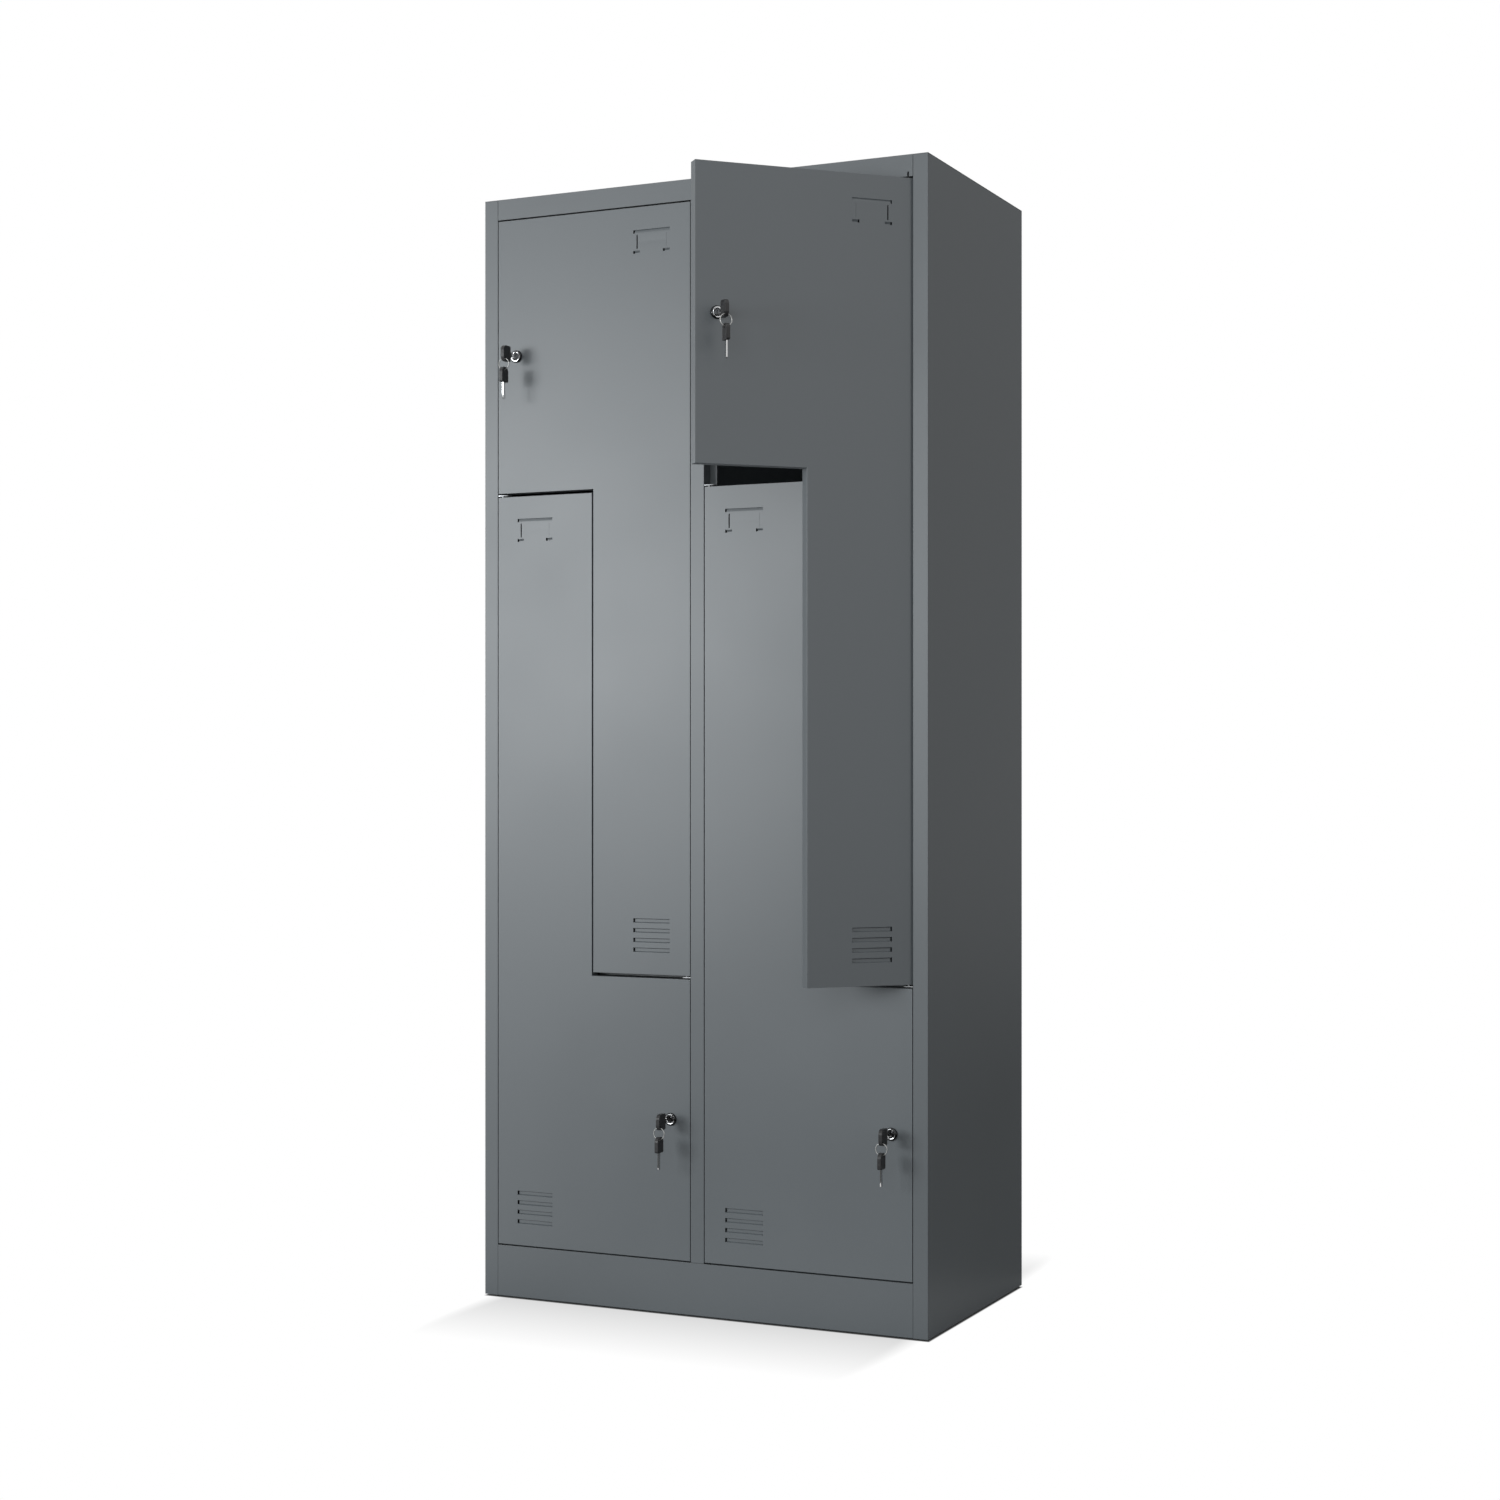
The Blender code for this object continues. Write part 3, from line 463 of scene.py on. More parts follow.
def is_fold(edge, along=None):
    """True for the outer edge of a fold, between two broad faces."""
    broad = 0.003
    if len(edge.link_faces) != 2 or not edge.is_convex or edge.calc_face_angle(0.0) < math.radians(50):
        return False
    if along and abs((edge.verts[1].co - edge.verts[0].co).normalized().dot(Vector(along))) < 0.99:
        return False
    return all(reach(face, edge) > broad for face in edge.link_faces)


def round_folds(piece, radius, along=None):
    """Round the outer edges of the folds and give them the second material."""
    edit(piece, "EDGE")
    if select(piece, "edges", lambda e: is_fold(e, along)):
        bpy.ops.mesh.bevel(offset_type="OFFSET", offset=radius, segments=4, profile=0.5, affect="EDGES",
                           clamp_overlap=False, loop_slide=True, material=1)
    bpy.ops.object.mode_set(mode="OBJECT")


def dress_sheet(node, name, coat, along=None, shape=None):
    """A folded sheet with rounded folds and powder coat, in place of its CAD node."""
    piece = copy_of(node, name)
    if shape:
        shape(piece)
    set_look(piece, coat + "_coat", coat + "_fold")
    round_folds(piece, bpy.context.scene.locker_paint.fold, along)
    smooth(piece, 32.0)
    finish_piece(piece, node)


def folded_sheet(name, path, thick, low, high):
    """An upright folded sheet: a path seen from above, with its thickness on the left, drawn up in Z."""
    turns = [(Vector(b) - Vector(a)).normalized() for a, b in zip(path, path[1:])]
    left = [Vector((-turn.y, turn.x)) for turn in turns]
    sides = [left[0]] + [a + b for a, b in zip(left, left[1:])] + [left[-1]]
    inner = [Vector(point) + side * thick for point, side in zip(path, sides)]
    piece, bm = new_mesh(name, "FACE")
    bm.faces.new([bm.verts.new((x, y, low)) for x, y in [*path, *reversed(inner)]])
    bmesh.update_edit_mesh(piece.data)
    bpy.ops.mesh.select_all(action="SELECT")
    bpy.ops.mesh.extrude_region_move(TRANSFORM_OT_translate={"value": (0, 0, high - low)})
    bpy.ops.mesh.select_all(action="SELECT")
    bpy.ops.mesh.normals_make_consistent(inside=False)
    bpy.ops.object.mode_set(mode="OBJECT")
    return piece


class LOCKER_OT_case(bpy.types.Operator):
    """Outer sheets of the case: sides, top, plinth, back and centre post"""

    bl_idname = "locker.case"
    bl_label = "Case sheets"

    def execute(self, context):
        for side in ("left", "right"):
            self.side_sheet(side, context.scene.locker_paint)
        # The folds of these case sheets take case_fold, the coat darkened as painted shade.
        dress_sheet("top_panel", "top_sheet", "case", (1, 0, 0), self.header_cuts)
        dress_sheet("plinth", "kick_plinth", "case", (1, 0, 0))
        dress_sheet("centre_post", "middle_post", "case", (0, 0, 1))
        back = NODES["back_panel"].data.materials
        back.clear()
        back.append(finishes()["case_coat"])
        return {"FINISHED"}

    def header_cuts(self, header):
        """A slot over the right hinge pin, the edge cut back beside it, and a seam at each stile."""
        x = JOINTS["upper_right_door_swing"]["pos_m"][0]
        edge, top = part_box("door_upper_right")[1].z - 0.001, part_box("top_panel")[1].z - 0.0014
        stile = abs(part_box("front_stile_right")[0].x) + bpy.context.scene.locker_paint.stop
        slot, slot_top, notch, notch_top, seam = 0.0015, edge + 0.0110, 0.0075, edge + 0.0030, 0.0006
        start, sheet, fold = DOOR_FACE - 0.0015, 0.003, 0.012
        for low, high, upper, deep in ((x - slot, x + slot, slot_top, sheet),
                                       (x - slot, x + notch, notch_top, fold),
                                       (stile - seam, stile + seam, top, sheet),
                                       (-stile - seam, seam - stile, top, sheet)):
            cut(header, slab("header_cut", (high - low, deep, upper - edge),
                             ((low + high) / 2, start + deep / 2, (edge + upper) / 2)))

    def side_sheet(self, side, paint):
        """Wall, stile, return and stop flange of one side, folded from a single sheet."""
        wall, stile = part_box(f"side_panel_{side}"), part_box(f"front_stile_{side}")
        thick = wall[1].x - wall[0].x
        hand = 1.0 if side == "right" else -1.0
        outer = max(abs(wall[0].x), abs(wall[1].x))
        inner = min(abs(stile[0].x), abs(stile[1].x))
        front, stop = stile[0].y, stile[1].y - thick
        edge = inner + paint.stop
        path = [(inner, stop), (edge, stop), (edge, front), (outer, front), (outer, wall[1].y)]
        if hand < 0:
            path = [(-x, y) for x, y in reversed(path)]
        sheet = folded_sheet(f"side_sheet_{side}", path, thick, stile[0].z, stile[1].z)
        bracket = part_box("step_hinge_bracket_" + ("upper_right" if side == "right" else "lower_left"))
        gap, deep = Vector((0.0, 0.0003, 0.0003)), 0.003
        low, high = bracket[0] - gap, bracket[1] + gap
        low.x, high.x = hand * edge - deep, hand * edge + deep
        cut(sheet, slab("bracket_slot", tuple(high - low), tuple((low + high) / 2)))
        # The folds take case_fold, the coat darkened as painted shade.
        set_look(sheet, "case_coat", "case_fold")
        round_folds(sheet, paint.fold, (0, 0, 1))
        smooth(sheet, 32.0)
        finish_piece(sheet, f"side_panel_{side}", (f"front_stile_{side}",))


class LOCKER_OT_interior(bpy.types.Operator):
    """Sheets inside the case: floor, partition, shelves and dividers"""

    bl_idname = "locker.interior"
    bl_label = "Inside sheets"

    def execute(self, context):
        dress_sheet("bottom_panel", "floor_sheet", "inside", (1, 0, 0))
        dress_sheet("centre_partition", "partition_sheet", "inside", (0, 0, 1))
        for side in ("left", "right"):
            dress_sheet(f"upright_divider_{side}", f"divider_sheet_{side}", "inside", (0, 0, 1))
            for level in ("upper", "lower"):
                shelf = f"{level}_shelf"
                dress_sheet(f"{shelf}_{side}", f"{shelf}_sheet_{side}", "inside", (1, 0, 0))
        return {"FINISHED"}


class LOCKER_OT_doors(bpy.types.Operator):
    """The four pan doors with their stiffeners"""

    bl_idname = "locker.doors"
    bl_label = "Doors"

    def execute(self, context):
        for tag in DOORS:
            dress_sheet(f"door_{tag}", f"door_pan_{tag}", "door",
                        shape=lambda piece: self.ease_card_holder(piece, tag))
            dress_sheet(f"stiffener_{tag}", f"door_channel_{tag}", "inside", (0, 0, 1))
        return {"FINISHED"}

    def ease_card_holder(self, piece, tag):
        """Level the seat behind the card, ease the strips round it, and shift their end cuts to one side."""
        turn, hinge = lock_place(tag).to_3x3(), Vector(JOINTS[f"{tag}_door_swing"]["pos_m"])
        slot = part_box(f"door_{tag}")[1].z - 0.0380
        side = -1.0 if tag == "upper_right" else 1.0
        close, cuts = 0.0001, (0.0312, 0.0372, 0.0410, 0.0860, 0.0898, 0.0958)

        def holder(low, high, depths=(), across=()):
            """A test for points between two heights over the slot, at these depths, this far from the hinge."""
            def test(vert):
                x, y, _ = turn.inverted() @ (vert.co - hinge)
                depth = y - DOOR_FACE + hinge.y
                return (low < vert.co.z - slot < high
                        and (not depths or any(abs(depth - one) < close for one in depths))
                        and (not across or any(abs(abs(x) - one) < close for one in across)))
            return test

        seat = holder(-0.0300, -0.0070, (0.0014, 0.0024)), 8, (0.0, -0.0012, 0.0)
        feet = holder(-0.0390, -0.0300, (0.0028, 0.0038)), 16, (0.0, -0.0003, 0.0)
        strip = holder(-0.0060, 0.0020, (0.0028, 0.0038)), 8, (0.0, -0.0010, 0.0)
        lip = holder(0.0000, 0.0020, (0.0018, 0.0028)), 4, (0.0, 0.0, -0.0007)
        ends = holder(-0.0400, 0.0030, across=cuts), 80, (side * 0.0009, 0.0, 0.0)
        for test, count, move in (seat, feet, strip, lip, ends):
            edit(piece, "VERT")
            found = select(piece, "verts", test)
            if found != count:
                raise RuntimeError(f"{found} of {count} points of the card holder on {piece.name}")
            bpy.ops.transform.translate(value=turn @ Vector(move))
            bpy.ops.object.mode_set(mode="OBJECT")


# Locks and keys, each built about its own axis, with the door's face at y = 0.
def lock_place(tag):
    """The frame of a door's lock: its axis along -Y, turned with the door."""
    joint = JOINTS[f"{tag}_lock_turn"]
    out = Vector(joint["axis"])
    if out.y > 0:
        out.negate()
    turn = math.atan2(out.x, -out.y)
    return Matrix.Translation(joint["pos_m"]) @ Matrix.Rotation(turn, 4, "Z")


def lathe(name, profile, steps=48, closed=False):
    """Spin (radius, depth) points about the Y axis through the origin."""
    piece, bm = new_mesh(name)
    verts = [bm.verts.new((radius, depth, 0.0)) for radius, depth in profile]
    for first, second in zip(verts, verts[1:] + (verts[:1] if closed else [])):
        bm.edges.new((first, second))
    bmesh.update_edit_mesh(piece.data)
    bpy.ops.mesh.select_all(action="SELECT")
    bpy.ops.mesh.spin(steps=steps, angle=2 * math.pi, center=(0, 0, 0), axis=(0, 1, 0))
    bpy.ops.mesh.select_all(action="SELECT")
    bpy.ops.mesh.remove_doubles(threshold=0.000002)
    bpy.ops.mesh.normals_make_consistent(inside=False)
    bpy.ops.object.mode_set(mode="OBJECT")
    return piece


def settle(name):
    """Name a new primitive and put its place into its mesh."""
    piece = bpy.context.object
    piece.name = piece.data.name = name
    bpy.ops.object.transform_apply(location=True, rotation=True, scale=True)
    return piece


def slab(name, size, centre):
    """A box of this size about this centre."""
    deselect()
    bpy.ops.mesh.primitive_cube_add(size=1.0, location=centre, scale=size)
    return settle(name)


def bar(name, radius, length, centre, sides, turn=(math.pi / 2, 0, 0)):
    """A cylinder about this centre, along Y unless it is turned another way."""
    deselect()
    bpy.ops.mesh.primitive_cylinder_add(vertices=sides, radius=radius, depth=length, location=centre,
                                        rotation=turn)
    return settle(name)


def cut(piece, tool):
    """Take tool away from piece."""
    apply_modifier(piece, "BOOLEAN", operation="DIFFERENCE", solver="EXACT", object=tool)
    bpy.data.objects.remove(tool, do_unlink=True)


def soften(piece, width, segments=2, degrees=30.0):
    """Round every edge sharper than an angle."""
    apply_modifier(piece, "BEVEL", width=width, segments=segments, limit_method="ANGLE",
                   angle_limit=math.radians(degrees), use_clamp_overlap=True)


def set_look(piece, *names):
    """Give piece these materials."""
    looks = finishes()
    piece.data.materials.clear()
    for name in names:
        piece.data.materials.append(looks[name])


class LOCKER_OT_locks(bpy.types.Operator):
    """Chrome cam locks with keyway, barrel, nut and cam"""

    bl_idname = "locker.locks"
    bl_label = "Cam locks"

    def execute(self, context):
        sizes = context.scene.locker_locks
        for tag in DOORS:
            self.housing(tag, sizes)
            self.plug(tag, sizes)
        return {"FINISHED"}

    def housing(self, tag, sizes):
        """Collar with a turned rim coloured dark, a painted dark reflection, and threaded barrel with its nut.
        """
        r, proud, barrel, bore, rim = sizes.collar, sizes.proud, 0.0086, 0.0064, sizes.collar - 0.0023
        profile = [(bore, 0.0250), (bore, -proud + 0.0009), (bore + 0.0003, -proud + 0.0005),
                   (bore + 0.0008, -proud + 0.0004), (bore + 0.0011, -proud), (r - 0.0022, -proud),
                   (r - 0.0012, -proud + 0.00025), (r - 0.0004, -proud + 0.0010), (r, -proud + 0.0020),
                   (r, -0.0004), (r - 0.0002, -0.0003), (barrel, -0.0003), (barrel, 0.0060)]
        depth, thread_end, back = 0.0062, 0.0248, 0.0254
        while depth < thread_end:
            profile += [(barrel - 0.0004, depth + 0.0004), (barrel, depth + 0.0008)]
            depth += 0.0009
        profile += [(barrel - 0.0003, back), (bore, back)]
        body = lathe(f"lock_body_{tag}", profile, 48, closed=True)
        set_look(body, "lock_chrome", "lock_rim")
        # Faces of the front rim beyond this radius take the dark rim metal: painted dark reflection.
        edit(body, "FACE")
        select(body, "faces", lambda f: f.calc_center_median().y < 0.0
               and f.calc_center_median().xz.length > rim)
        body.active_material_index = 1
        bpy.ops.object.material_slot_assign()
        bpy.ops.object.mode_set(mode="OBJECT")
        smooth(body, 35.0)
        piece = join([body, self.nut()], f"lock_shell_{tag}")
        place_mesh(piece, lock_place(tag))
        finish_piece(piece, f"lock_housing_{tag}")

    def nut(self):
        """Hexagon nut on the barrel behind the door."""
        middle, flats, hole = (0, 0.0037, 0), 0.0108, 0.0088
        nut = bar("lock_nut", flats / math.cos(math.pi / 6), 0.0046, middle, 6)
        soften(nut, 0.0005)
        cut(nut, bar("nut_hole", hole, 0.02, middle, 48))
        set_look(nut, "cam_zinc")
        smooth(nut, 35.0, weighted=False)
        return nut

    def plug(self, tag, sizes):
        """Turning plug with a keyway in its face, a cam and its screw."""
        proud = sizes.proud
        profile = [(0.0, -proud + 0.0003), (0.0052, -proud + 0.0003), (0.0057, -proud + 0.0007),
                   (0.0059, -proud + 0.0012), (0.0059, 0.0262), (0.0, 0.0262)]
        plug = lathe(f"plug_core_{tag}", profile, 48)
        cut(plug, slab("keyway", (0.0026, 0.0290, 0.0084), (0, 0.0040, 0)))
        soften(plug, 0.00012, 1, 50.0)
        # The plug is coloured dark as a painted dark reflection on its face.
        set_look(plug, "plug_steel")
        smooth(plug, 30.0)
        cam = self.cam()
        screw = lathe(f"cam_screw_{tag}", [(0.0, 0.0300), (0.0030, 0.0300), (0.0042, 0.0292), (0.0044, 0.0286),
                                           (0.0044, 0.0284), (0.0, 0.0284)], 24)
        cut(screw, slab("slot", (0.0009, 0.0016, 0.0100), (0, 0.0302, 0)))
        set_look(screw, "cam_zinc")
        smooth(screw, 35.0, weighted=False)
        piece = join([plug, cam, screw], f"lock_core_{tag}")
        place_mesh(piece, lock_place(tag))
        finish_piece(piece, f"lock_plug_{tag}")

    def cam(self):
        """Flat cam: a round eye that tapers to a square tip."""
        reach, tip_half, broad = 0.0320, 0.0060, 1.25
        cam = bar("lock_cam", 0.0080, 0.0020, (0, 0.0274, 0), 32)
        edit(cam, "FACE")
        select(cam, "faces", lambda f: f.normal.z > 0.6 and abs(f.normal.y) < 0.5)
        bpy.ops.mesh.extrude_region_move(TRANSFORM_OT_translate={"value": (0, 0, 0.008)})
        bm = bmesh.from_edit_mesh(cam.data)
        for vert in bm.verts:
            if vert.select:
                vert.co.z = reach
                if abs(vert.co.x) > 0.004:
                    vert.co.x = math.copysign(min(tip_half, broad * abs(vert.co.x)), vert.co.x)
        bmesh.update_edit_mesh(cam.data)
        bpy.ops.object.mode_set(mode="OBJECT")
        soften(cam, 0.0002, 1, 40.0)
        set_look(cam, "cam_zinc")
        smooth(cam, 35.0, weighted=False)
        return cam


def key_head(name, wide, high, middle, hole, blade):
    """Moulded key head in the plane of Y and Z: round away from its blade, a raised rim and a hole."""
    thick, rim, ledge, sunk, hole_radius = 0.0060, 0.0018, 0.0004, 0.0006, 0.0026
    round_corner, blade_corner = 0.0085, 0.0028
    head = slab(name, (thick, wide, high), (0, *middle))
    ahead, centre, off = Vector((0.0, *blade)), Vector((0, *middle)), 0.4 * min(wide, high)

    def at_corner(edge, side):
        first, second = (vert.co for vert in edge.verts)
        return (abs((second - first).normalized().x) > 0.9
                and ((first + second) / 2 - centre).dot(ahead) * side > off)

    for side, corner in ((-1, round_corner), (1, blade_corner)):
        edit(head, "EDGE")
        select(head, "edges", lambda e: at_corner(e, side))
        bpy.ops.mesh.bevel(offset_type="OFFSET", offset=corner, segments=8, profile=0.5, affect="EDGES")
    bpy.ops.mesh.select_mode(type="FACE")
    bpy.ops.mesh.select_all(action="DESELECT")
    select(head, "faces", lambda f: abs(f.normal.x) > 0.9)
    bpy.ops.mesh.inset(thickness=rim, use_individual=True)
    bpy.ops.mesh.inset(thickness=ledge, depth=-sunk, use_individual=True)
    bpy.ops.object.mode_set(mode="OBJECT")
    cut(head, bar("key_hole", hole_radius, 0.02, (0, *hole), 32, (0, math.pi / 2, 0)))
    soften(head, 0.0005, 2, 40.0)
    set_look(head, "key_head")
    smooth(head, 40.0)
    return head


def key_blade(name, start, length, downwards):
    """Milled key blade with a groove and cuts, along -Z when downwards or else into the lock."""
    thick, high, end = 0.0019, 0.0064, start + length
    blade = slab(name, (thick, length, high), (0, start + length / 2, 0))
    for side in (-1, 1):
        cut(blade, slab("groove", (0.0008, length * 0.9, 0.0012),
                        (side * thick / 2, start + length * 0.52, 0.0009)))
    tooth = 0.004
    for i, depth in enumerate((0.0009, 0.0015, 0.0007, 0.0013, 0.0010)):
        at = start + length * (0.34 + 0.13 * i)
        tool = slab("cut", (tooth, 0.0016, tooth), (0, at, depth - high / 2 - tooth / 2))
        edit(tool, "FACE")
        select(tool, "faces", lambda f: f.normal.z < -0.9)
        bpy.ops.transform.resize(value=(1, 2.2, 1))
        bpy.ops.object.mode_set(mode="OBJECT")
        cut(blade, tool)
    edit(blade, "EDGE")
    select(blade, "edges", lambda e: all(abs(v.co.y - end) < 1e-5 for v in e.verts)
           and abs((e.verts[1].co - e.verts[0].co).normalized().x) > 0.9)
    bpy.ops.mesh.bevel(offset_type="OFFSET", offset=0.0018, segments=2, profile=0.5, affect="EDGES")
    bpy.ops.object.mode_set(mode="OBJECT")
    set_look(blade, "key_nickel")
    if downwards:
        blade.data.transform(Matrix.Rotation(math.pi, 4, "Z") @ Matrix.Rotation(-math.pi / 2, 4, "X"))
    smooth(blade, 30.0, weighted=False)
    return blade


class LOCKER_OT_keys(bpy.types.Operator):
    """Key in each lock and the spare key that hangs from its ring"""

    bl_idname = "locker.keys"
    bl_label = "Keys"

    def execute(self, context):
        seat = context.scene.locker_locks.seat
        for tag in DOORS:
            place = lock_place(tag)
            hole = place.inverted() @ Vector(JOINTS[f"{tag}_ring_swing"]["pos_m"])
            head = key_head(f"head_{tag}", 0.0225, 0.0260, (-0.03575, 0.0), (hole.y, hole.z + seat), (1, 0))
            neck = slab(f"neck_{tag}", (0.0038, 0.0050, 0.0086), (0, -0.0232, 0))
            soften(neck, 0.0004)
            set_look(neck, "key_head")
            smooth(neck, 40.0)
            blade = key_blade(f"blade_{tag}", -0.0228, 0.0380, False)
            key = join([head, neck, blade], f"door_key_{tag}")
            place_mesh(key, place)
            finish_piece(key, f"key_{tag}")
            self.spare(tag, place, seat)
        return {"FINISHED"}

    def spare(self, tag, place, seat):
        """The spare key, about the point where it hangs on the ring."""
        hang = Vector(JOINTS[f"{tag}_spare_key_swing"]["pos_m"])
        high, hole_down, sunk = 0.0255, 0.0050, 0.002
        drop = high / 2 - hole_down + seat
        head = key_head(f"spare_head_{tag}", 0.0200, high, (0.0, -drop), (0.0, -seat), (0, -1))
        blade = key_blade(f"spare_blade_{tag}", drop + high / 2 - sunk, 0.0295, True)
        spare = join([head, blade], f"spare_{tag}")
        place_mesh(spare, Matrix.Translation(hang) @ place.to_3x3().to_4x4())
        finish_piece(spare, f"spare_key_{tag}")


class LOCKER_OT_rings(bpy.types.Operator):
    """Split rings of two close turns of wire"""

    bl_idname = "locker.rings"
    bl_label = "Split rings"

    def execute(self, context):
        wire, radius, steps = context.scene.locker_locks.ring_wire, 0.0094, 64
        for tag in DOORS:
            deselect()
            bpy.ops.mesh.primitive_circle_add(vertices=10, radius=wire, location=(radius, 0, 0),
                                              rotation=(math.pi / 2, 0, 0), fill_type="NGON")
            ring = settle(f"split_ring_{tag}")
            ring.data.transform(Matrix.Rotation(math.pi / 2, 4, "X"))
            edit(ring, "FACE")
            bpy.ops.mesh.select_all(action="SELECT")
            for step in range(2 * steps):
                bpy.ops.mesh.extrude_region_move()
                bm = bmesh.from_edit_mesh(ring.data)
                turn = Matrix.Rotation(2 * math.pi / steps, 3, "Y")
                rise = 2 * wire / steps * (2.0 if step % steps > steps * 3 // 4 else 0.0)
                bmesh.ops.rotate(bm, verts=[v for v in bm.verts if v.select], cent=(0, 0, 0), matrix=turn)
                bmesh.ops.translate(bm, verts=[v for v in bm.verts if v.select], vec=(0, rise, 0))
                bmesh.update_edit_mesh(ring.data)
            bpy.ops.mesh.select_all(action="SELECT")
            bpy.ops.mesh.normals_make_consistent(inside=False)
            bpy.ops.object.mode_set(mode="OBJECT")
            set_look(ring, "ring_steel")
            smooth(ring, 50.0, weighted=False)
            hang = Vector(JOINTS[f"{tag}_ring_swing"]["pos_m"]) - Vector((0, 0, radius))
            place_mesh(ring, Matrix.Translation(hang) @ lock_place(tag).to_3x3().to_4x4())
            finish_piece(ring, f"key_ring_{tag}")
        return {"FINISHED"}


class LOCKER_OT_fittings(bpy.types.Operator):
    """Hinge plates, step brackets, hanging rails and levelling feet"""

    bl_idname = "locker.fittings"
    bl_label = "Fittings"

    def execute(self, context):
        for tag in DOORS:
            # The hinge plates are near black so the notch over the pin reads dark: painted shade.
            for node, name, look in ((f"hinge_plate_{tag}", f"pin_plate_{tag}", "pin_black"),
                                     (f"step_hinge_bracket_{tag}", f"pin_bracket_{tag}", "hinge_zinc")):
                piece = copy_of(node, name)
                soften(piece, 0.0002, 2, 40.0)
                set_look(piece, look)
                smooth(piece, 40.0)
                finish_piece(piece, node)
        for level in ("upper", "lower"):
            for side in ("left", "right"):
                self.rail(f"hanging_rail_{level}_{side}", f"coat_rail_{level}_{side}")
        for end in ("front", "rear"):
            for side in ("left", "right"):
                self.foot(f"levelling_foot_{end}_{side}", f"foot_{end}_{side}")
        return {"FINISHED"}

    def rail(self, node, name):
        """Tube between two cupped flanges, each with a weld bead."""
        low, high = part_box(node)
        half, middle = (high.x - low.x) / 2, (low + high) / 2
        end = [(0.0, half), (0.0155, half), (0.0160, half - 0.0005), (0.0160, half - 0.0014),
               (0.0154, half - 0.0020), (0.0112, half - 0.0021), (0.0100, half - 0.0026),
               (0.0092, half - 0.0036), (0.0090, half - 0.0048)]
        profile = end + [(radius, -depth) for radius, depth in reversed(end)]
        piece = lathe(name, profile, 40)
        piece.data.transform(Matrix.Translation(middle) @ Matrix.Rotation(-math.pi / 2, 4, "Z"))
        set_look(piece, "rail_zinc")
        smooth(piece, 40.0, weighted=False)
        finish_piece(piece, node)

    def foot(self, node, name):
        """Rubber disc on a threaded stem with a lock nut."""
        low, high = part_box(node)
        middle = Vector(((low.x + high.x) / 2, (low.y + high.y) / 2, 0.0))
        disc = lathe(name + "_disc", [(0.0, 0.0), (0.0160, 0.0), (0.0172, 0.0006), (0.0178, 0.0018),
                                      (0.0178, 0.0056), (0.0170, 0.0066), (0.0072, 0.0098), (0.0064, 0.0110),
                                      (0.0, 0.0110)], 40)
        set_look(disc, "foot_rubber")
        z, pitch, thread, nut, top = 0.0105, 0.0012, 0.0039, 0.0074, high.z - 0.0004
        stem = [(0.0, z)]
        while z < high.z - 0.0090:
            stem += [(thread, z), (thread - 0.0005, z + pitch / 2)]
            z += pitch
        stem += [(thread, high.z - 0.0086), (nut, high.z - 0.0084), (nut, top), (0.0, top)]
        rod = lathe(name + "_stem", stem, 24)
        set_look(rod, "hinge_zinc")
        for part in (disc, rod):
            smooth(part, 40.0, weighted=False)
        piece = join([disc, rod], name)
        piece.data.transform(Matrix.Translation(middle) @ Matrix.Rotation(math.pi / 2, 4, "X"))
        finish_piece(piece, node)


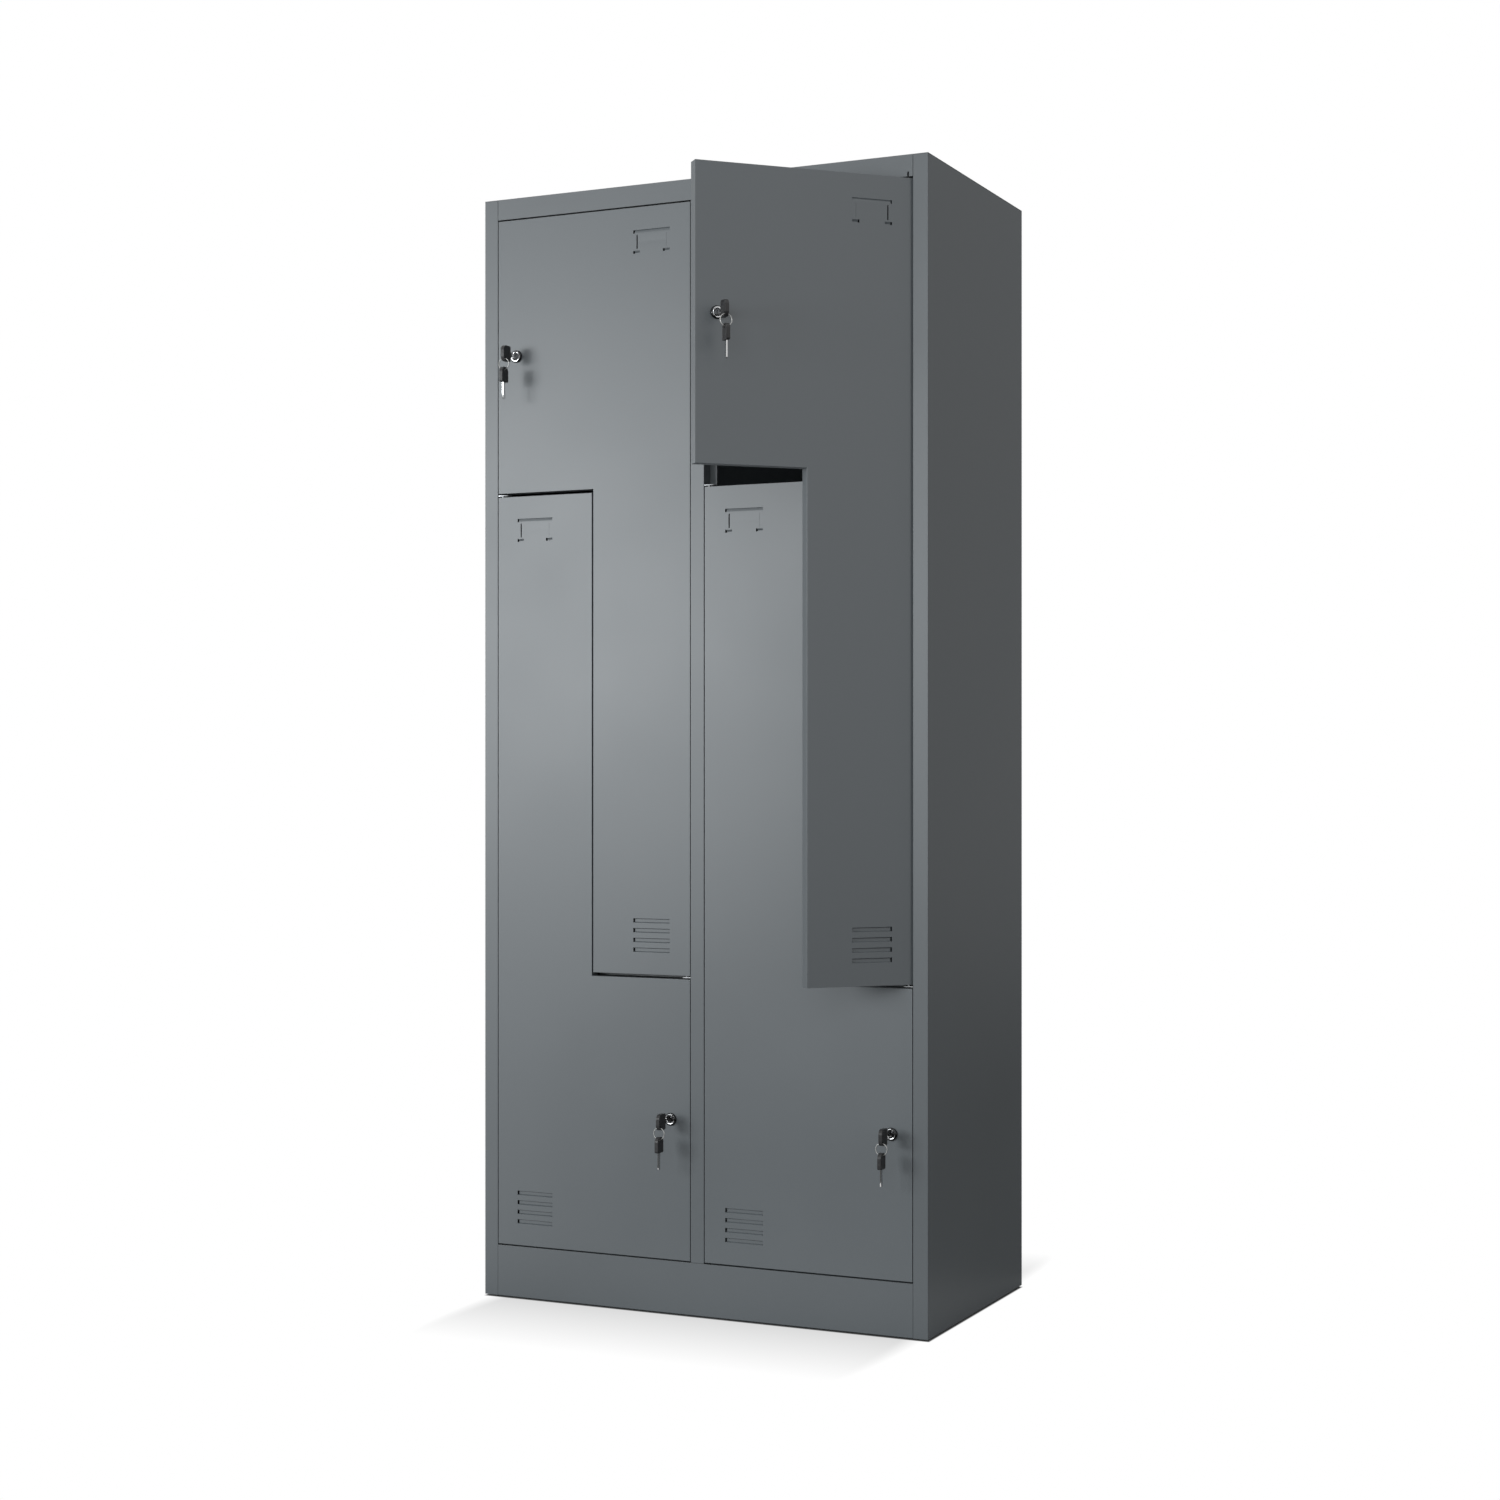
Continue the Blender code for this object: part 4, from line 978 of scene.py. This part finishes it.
class LOCKER_OT_studio(bpy.types.Operator):
    """Floor, white surroundings, drapes, soft lamps and the camera"""

    bl_idname = "locker.studio"
    bl_label = "Studio"

    def execute(self, context):
        studio = context.scene.locker_studio
        self.floor(studio)
        self.surroundings(studio)
        self.drapes(studio)
        self.lamp("key_softbox", (-38.0, 7.0), 1.3, studio.key_power)
        self.lamp("broad_softbox", (-25.0, 7.0), 1.5, studio.broad_power)
        self.lamp("front_softbox", (12.0, 12.0), 3.0, studio.front_power)
        self.lamp("edge_softbox", (-114.0, 5.0), 1.5, studio.edge_power)
        self.camera()
        return {"FINISHED"}

    def floor(self, studio):
        """A wide floor that catches the shadow and fades into the white background. Beside the case its glow is
        lowered, a painted shadow over its own shading, and under the case the glow is taken out.
        """
        deselect()
        bpy.ops.mesh.primitive_circle_add(vertices=96, radius=14.0, fill_type="NGON", location=(0, 0, 0))
        floor = bpy.context.object
        floor.name = floor.data.name = "studio_floor"
        mat, link, shader, add = new_material("studio_floor_white")
        shader.inputs["Base Color"].default_value = (*studio.floor, 1.0)
        shader.inputs["Roughness"].default_value = 0.9
        shader.inputs["Specular IOR Level"].default_value = 0.1
        outside = self.off_footprint(add, link, 0.0, 1.0)
        beside = self.off_footprint(add, link, 0.045, 8.0)
        # The glow falls off towards the case: painted shadow beside it, over the floor's real shading.
        fade = spread(add, link, beside, 0.0, studio.fade, studio.glow, 1.0)
        # Under the case the glow is taken out: a painted dark contact line, over the floor's real shadow there.
        under = spread(add, link, outside, 0.0, 0.003, 0.0, 1.0)
        # Near the case, glossy rays see the floor without its glow: painted shade in reflections of the floor.
        near = spread(add, link, outside, 0.0, studio.reflected, 0.0, 1.0)
        shown = combine(add, link, "MULTIPLY", self.seen(add, link, near), under)
        mix = add("ShaderNodeMixShader")
        link(combine(add, link, "MULTIPLY", fade, shown), mix.inputs[0])
        link(shader.outputs[0], mix.inputs[1])
        link(add("ShaderNodeEmission", in_Strength=1.0).outputs[0], mix.inputs[2])
        link(mix.outputs[0], mat.node_tree.nodes["Material Output"].inputs["Surface"])
        floor.data.materials.append(mat)

    def off_footprint(self, add, link, inset, beside):
        """How far a point of the floor lies outside the case, made narrower and with X counted more."""
        low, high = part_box("side_panel_right")
        half = (high.y - low.y) / 2
        value = add("ShaderNodeTexCoord").outputs["Object"]
        for operation, operand in (("SUBTRACT", (0.0, low.y + half, 0.0)), ("ABSOLUTE", None),
                                   ("SUBTRACT", (high.x - inset, half, 1.0)),
                                   ("MAXIMUM", (0.0, 0.0, 0.0)), ("MULTIPLY", (beside, 1.0, 1.0)),
                                   ("LENGTH", None)):
            node = add("ShaderNodeVectorMath", operation=operation)
            link(value, node.inputs[0])
            if operand:
                node.inputs[1].default_value = operand
            value = node.outputs["Value" if operation == "LENGTH" else "Vector"]
        return value

    def drapes(self, studio):
        """A grey drape with a pale panel, and a dark cloth on the floor, that only lighting rays see."""
        drape, bm = new_mesh("studio_drape")
        hole, radius, low, high = 0.6, 6.5, 0.0015, 4.5
        first_side, sweep, panel = -110.0, 288.0, (45.0, 85.0)
        start = Matrix.Rotation(math.radians(first_side), 3, "Z")
        rim = [bm.verts.new(start @ Vector((0.0, -away, z)))
               for away, z in ((hole, low), (radius, low), (radius, high))]
        for first, second in zip(rim, rim[1:]):
            bm.edges.new((first, second))
        bmesh.update_edit_mesh(drape.data)
        bpy.ops.mesh.select_all(action="SELECT")
        bpy.ops.mesh.spin(steps=48, angle=math.radians(sweep), center=(0, 0, 0), axis=(0, 0, 1))
        bpy.ops.object.mode_set(mode="OBJECT")
        for name, level in (("dark_cloth", studio.cloth), ("grey_drape", studio.drape),
                            ("pale_panel", studio.panel)):
            mat, _, shader, _ = new_material(name)
            shader.inputs["Base Color"].default_value = (0.02, 0.02, 0.02, 1.0)
            shader.inputs["Specular IOR Level"].default_value = 0.0
            shader.inputs["Emission Color"].default_value = (1.0, 1.0, 1.0, 1.0)
            shader.inputs["Emission Strength"].default_value = level
            drape.data.materials.append(mat)
        for face in drape.data.polygons:
            side = math.degrees(math.atan2(face.center.x, -face.center.y))
            face.material_index = 0 if abs(face.normal.z) > 0.5 else 2 if panel[0] < side < panel[1] else 1
        drape.visible_camera = drape.visible_shadow = False

    def seen(self, add, link, near=None):
        """1 for camera, glossy and transmission rays, 0 for the rays that light the object. Glossy rays are
        scaled by near when it is given, painted shade in what reflections see.
        """
        path = add("ShaderNodeLightPath").outputs
        glossy = path["Is Glossy Ray"]
        if near is not None:
            glossy = combine(add, link, "MULTIPLY", glossy, near)
        looking = combine(add, link, "MAXIMUM", path["Is Camera Ray"], glossy)
        return combine(add, link, "MAXIMUM", looking, path["Is Transmission Ray"])

    def surroundings(self, studio):
        """White where it is seen, and an even light of its own strength elsewhere."""
        world = bpy.data.worlds.new("studio_white")
        bpy.context.scene.world = world
        world.use_nodes = True
        add, link = adder(world.node_tree), world.node_tree.links.new
        ground = world.node_tree.nodes["Background"]
        ground.inputs["Color"].default_value = (1.0, 1.0, 1.0, 1.0)
        link(spread(add, link, self.seen(add, link), 0.0, 1.0, studio.sky, 1.0), ground.inputs["Strength"])

    def lamp(self, name, direction, size, power):
        """A square soft lamp, in a direction given as angles to the right and up."""
        data = bpy.data.lights.new(name, "AREA")
        data.shape, data.size, data.energy = "SQUARE", size, power
        data.color = (0.965, 1.0, 1.02)
        distance, middle = 5.0, Vector((0.0, DOOR_FACE, 0.92))
        lamp = bpy.data.objects.new(name, data)
        bpy.context.scene.collection.objects.link(lamp)
        side, up = (math.radians(angle) for angle in direction)
        away = Vector((math.sin(side) * math.cos(up), -math.cos(side) * math.cos(up), math.sin(up)))
        lamp.location = middle + away * distance
        lamp.rotation_euler = (-away).to_track_quat("-Z", "Y").to_euler()

    def camera(self):
        """The photograph's camera: level, a little right of the cabinet's front."""
        data = bpy.data.cameras.new("view_camera")
        data.sensor_width, data.lens, data.shift_y = 36.0, 59.265, 0.01016
        camera = bpy.data.objects.new("view_camera", data)
        bpy.context.scene.collection.objects.link(camera)
        camera.location = (1.7748, -3.6883, 0.8967)
        camera.rotation_euler = (math.pi / 2, 0.0, math.radians(25.0527))
        bpy.context.scene.camera = camera


class LOCKER_PT_panel(bpy.types.Panel):
    """Sizes, colours and pieces of the locker"""

    bl_idname = "LOCKER_PT_panel"
    bl_label = "Steel Locker"
    bl_space_type = "VIEW_3D"
    bl_region_type = "UI"
    bl_category = "Locker"

    def draw(self, context):
        layout = self.layout
        for name in GROUPS:
            group = getattr(context.scene, name)
            box = layout.box()
            for field in group.__annotations__:
                box.prop(group, field)
        column = layout.column(align=True)
        for operator in OPERATORS:
            column.operator(operator.bl_idname)


OPERATORS = (LOCKER_OT_case, LOCKER_OT_interior, LOCKER_OT_doors, LOCKER_OT_locks, LOCKER_OT_keys,
             LOCKER_OT_rings, LOCKER_OT_fittings, LOCKER_OT_studio)


def register():
    for kind in (*GROUPS.values(), *OPERATORS, LOCKER_PT_panel):
        bpy.utils.register_class(kind)
    for name, group in GROUPS.items():
        setattr(bpy.types.Scene, name, bpy.props.PointerProperty(type=group))


def unregister():
    for name in GROUPS:
        delattr(bpy.types.Scene, name)
    for kind in reversed((*GROUPS.values(), *OPERATORS, LOCKER_PT_panel)):
        bpy.utils.unregister_class(kind)


def main():
    """Make the whole locker and its studio."""
    register()
    scene = bpy.context.scene
    scene.view_settings.view_transform = "Standard"
    for step in ("case", "interior", "doors", "locks", "keys", "rings", "fittings", "studio"):
        getattr(bpy.ops.locker, step)()


if __name__ == "__main__":
    main()
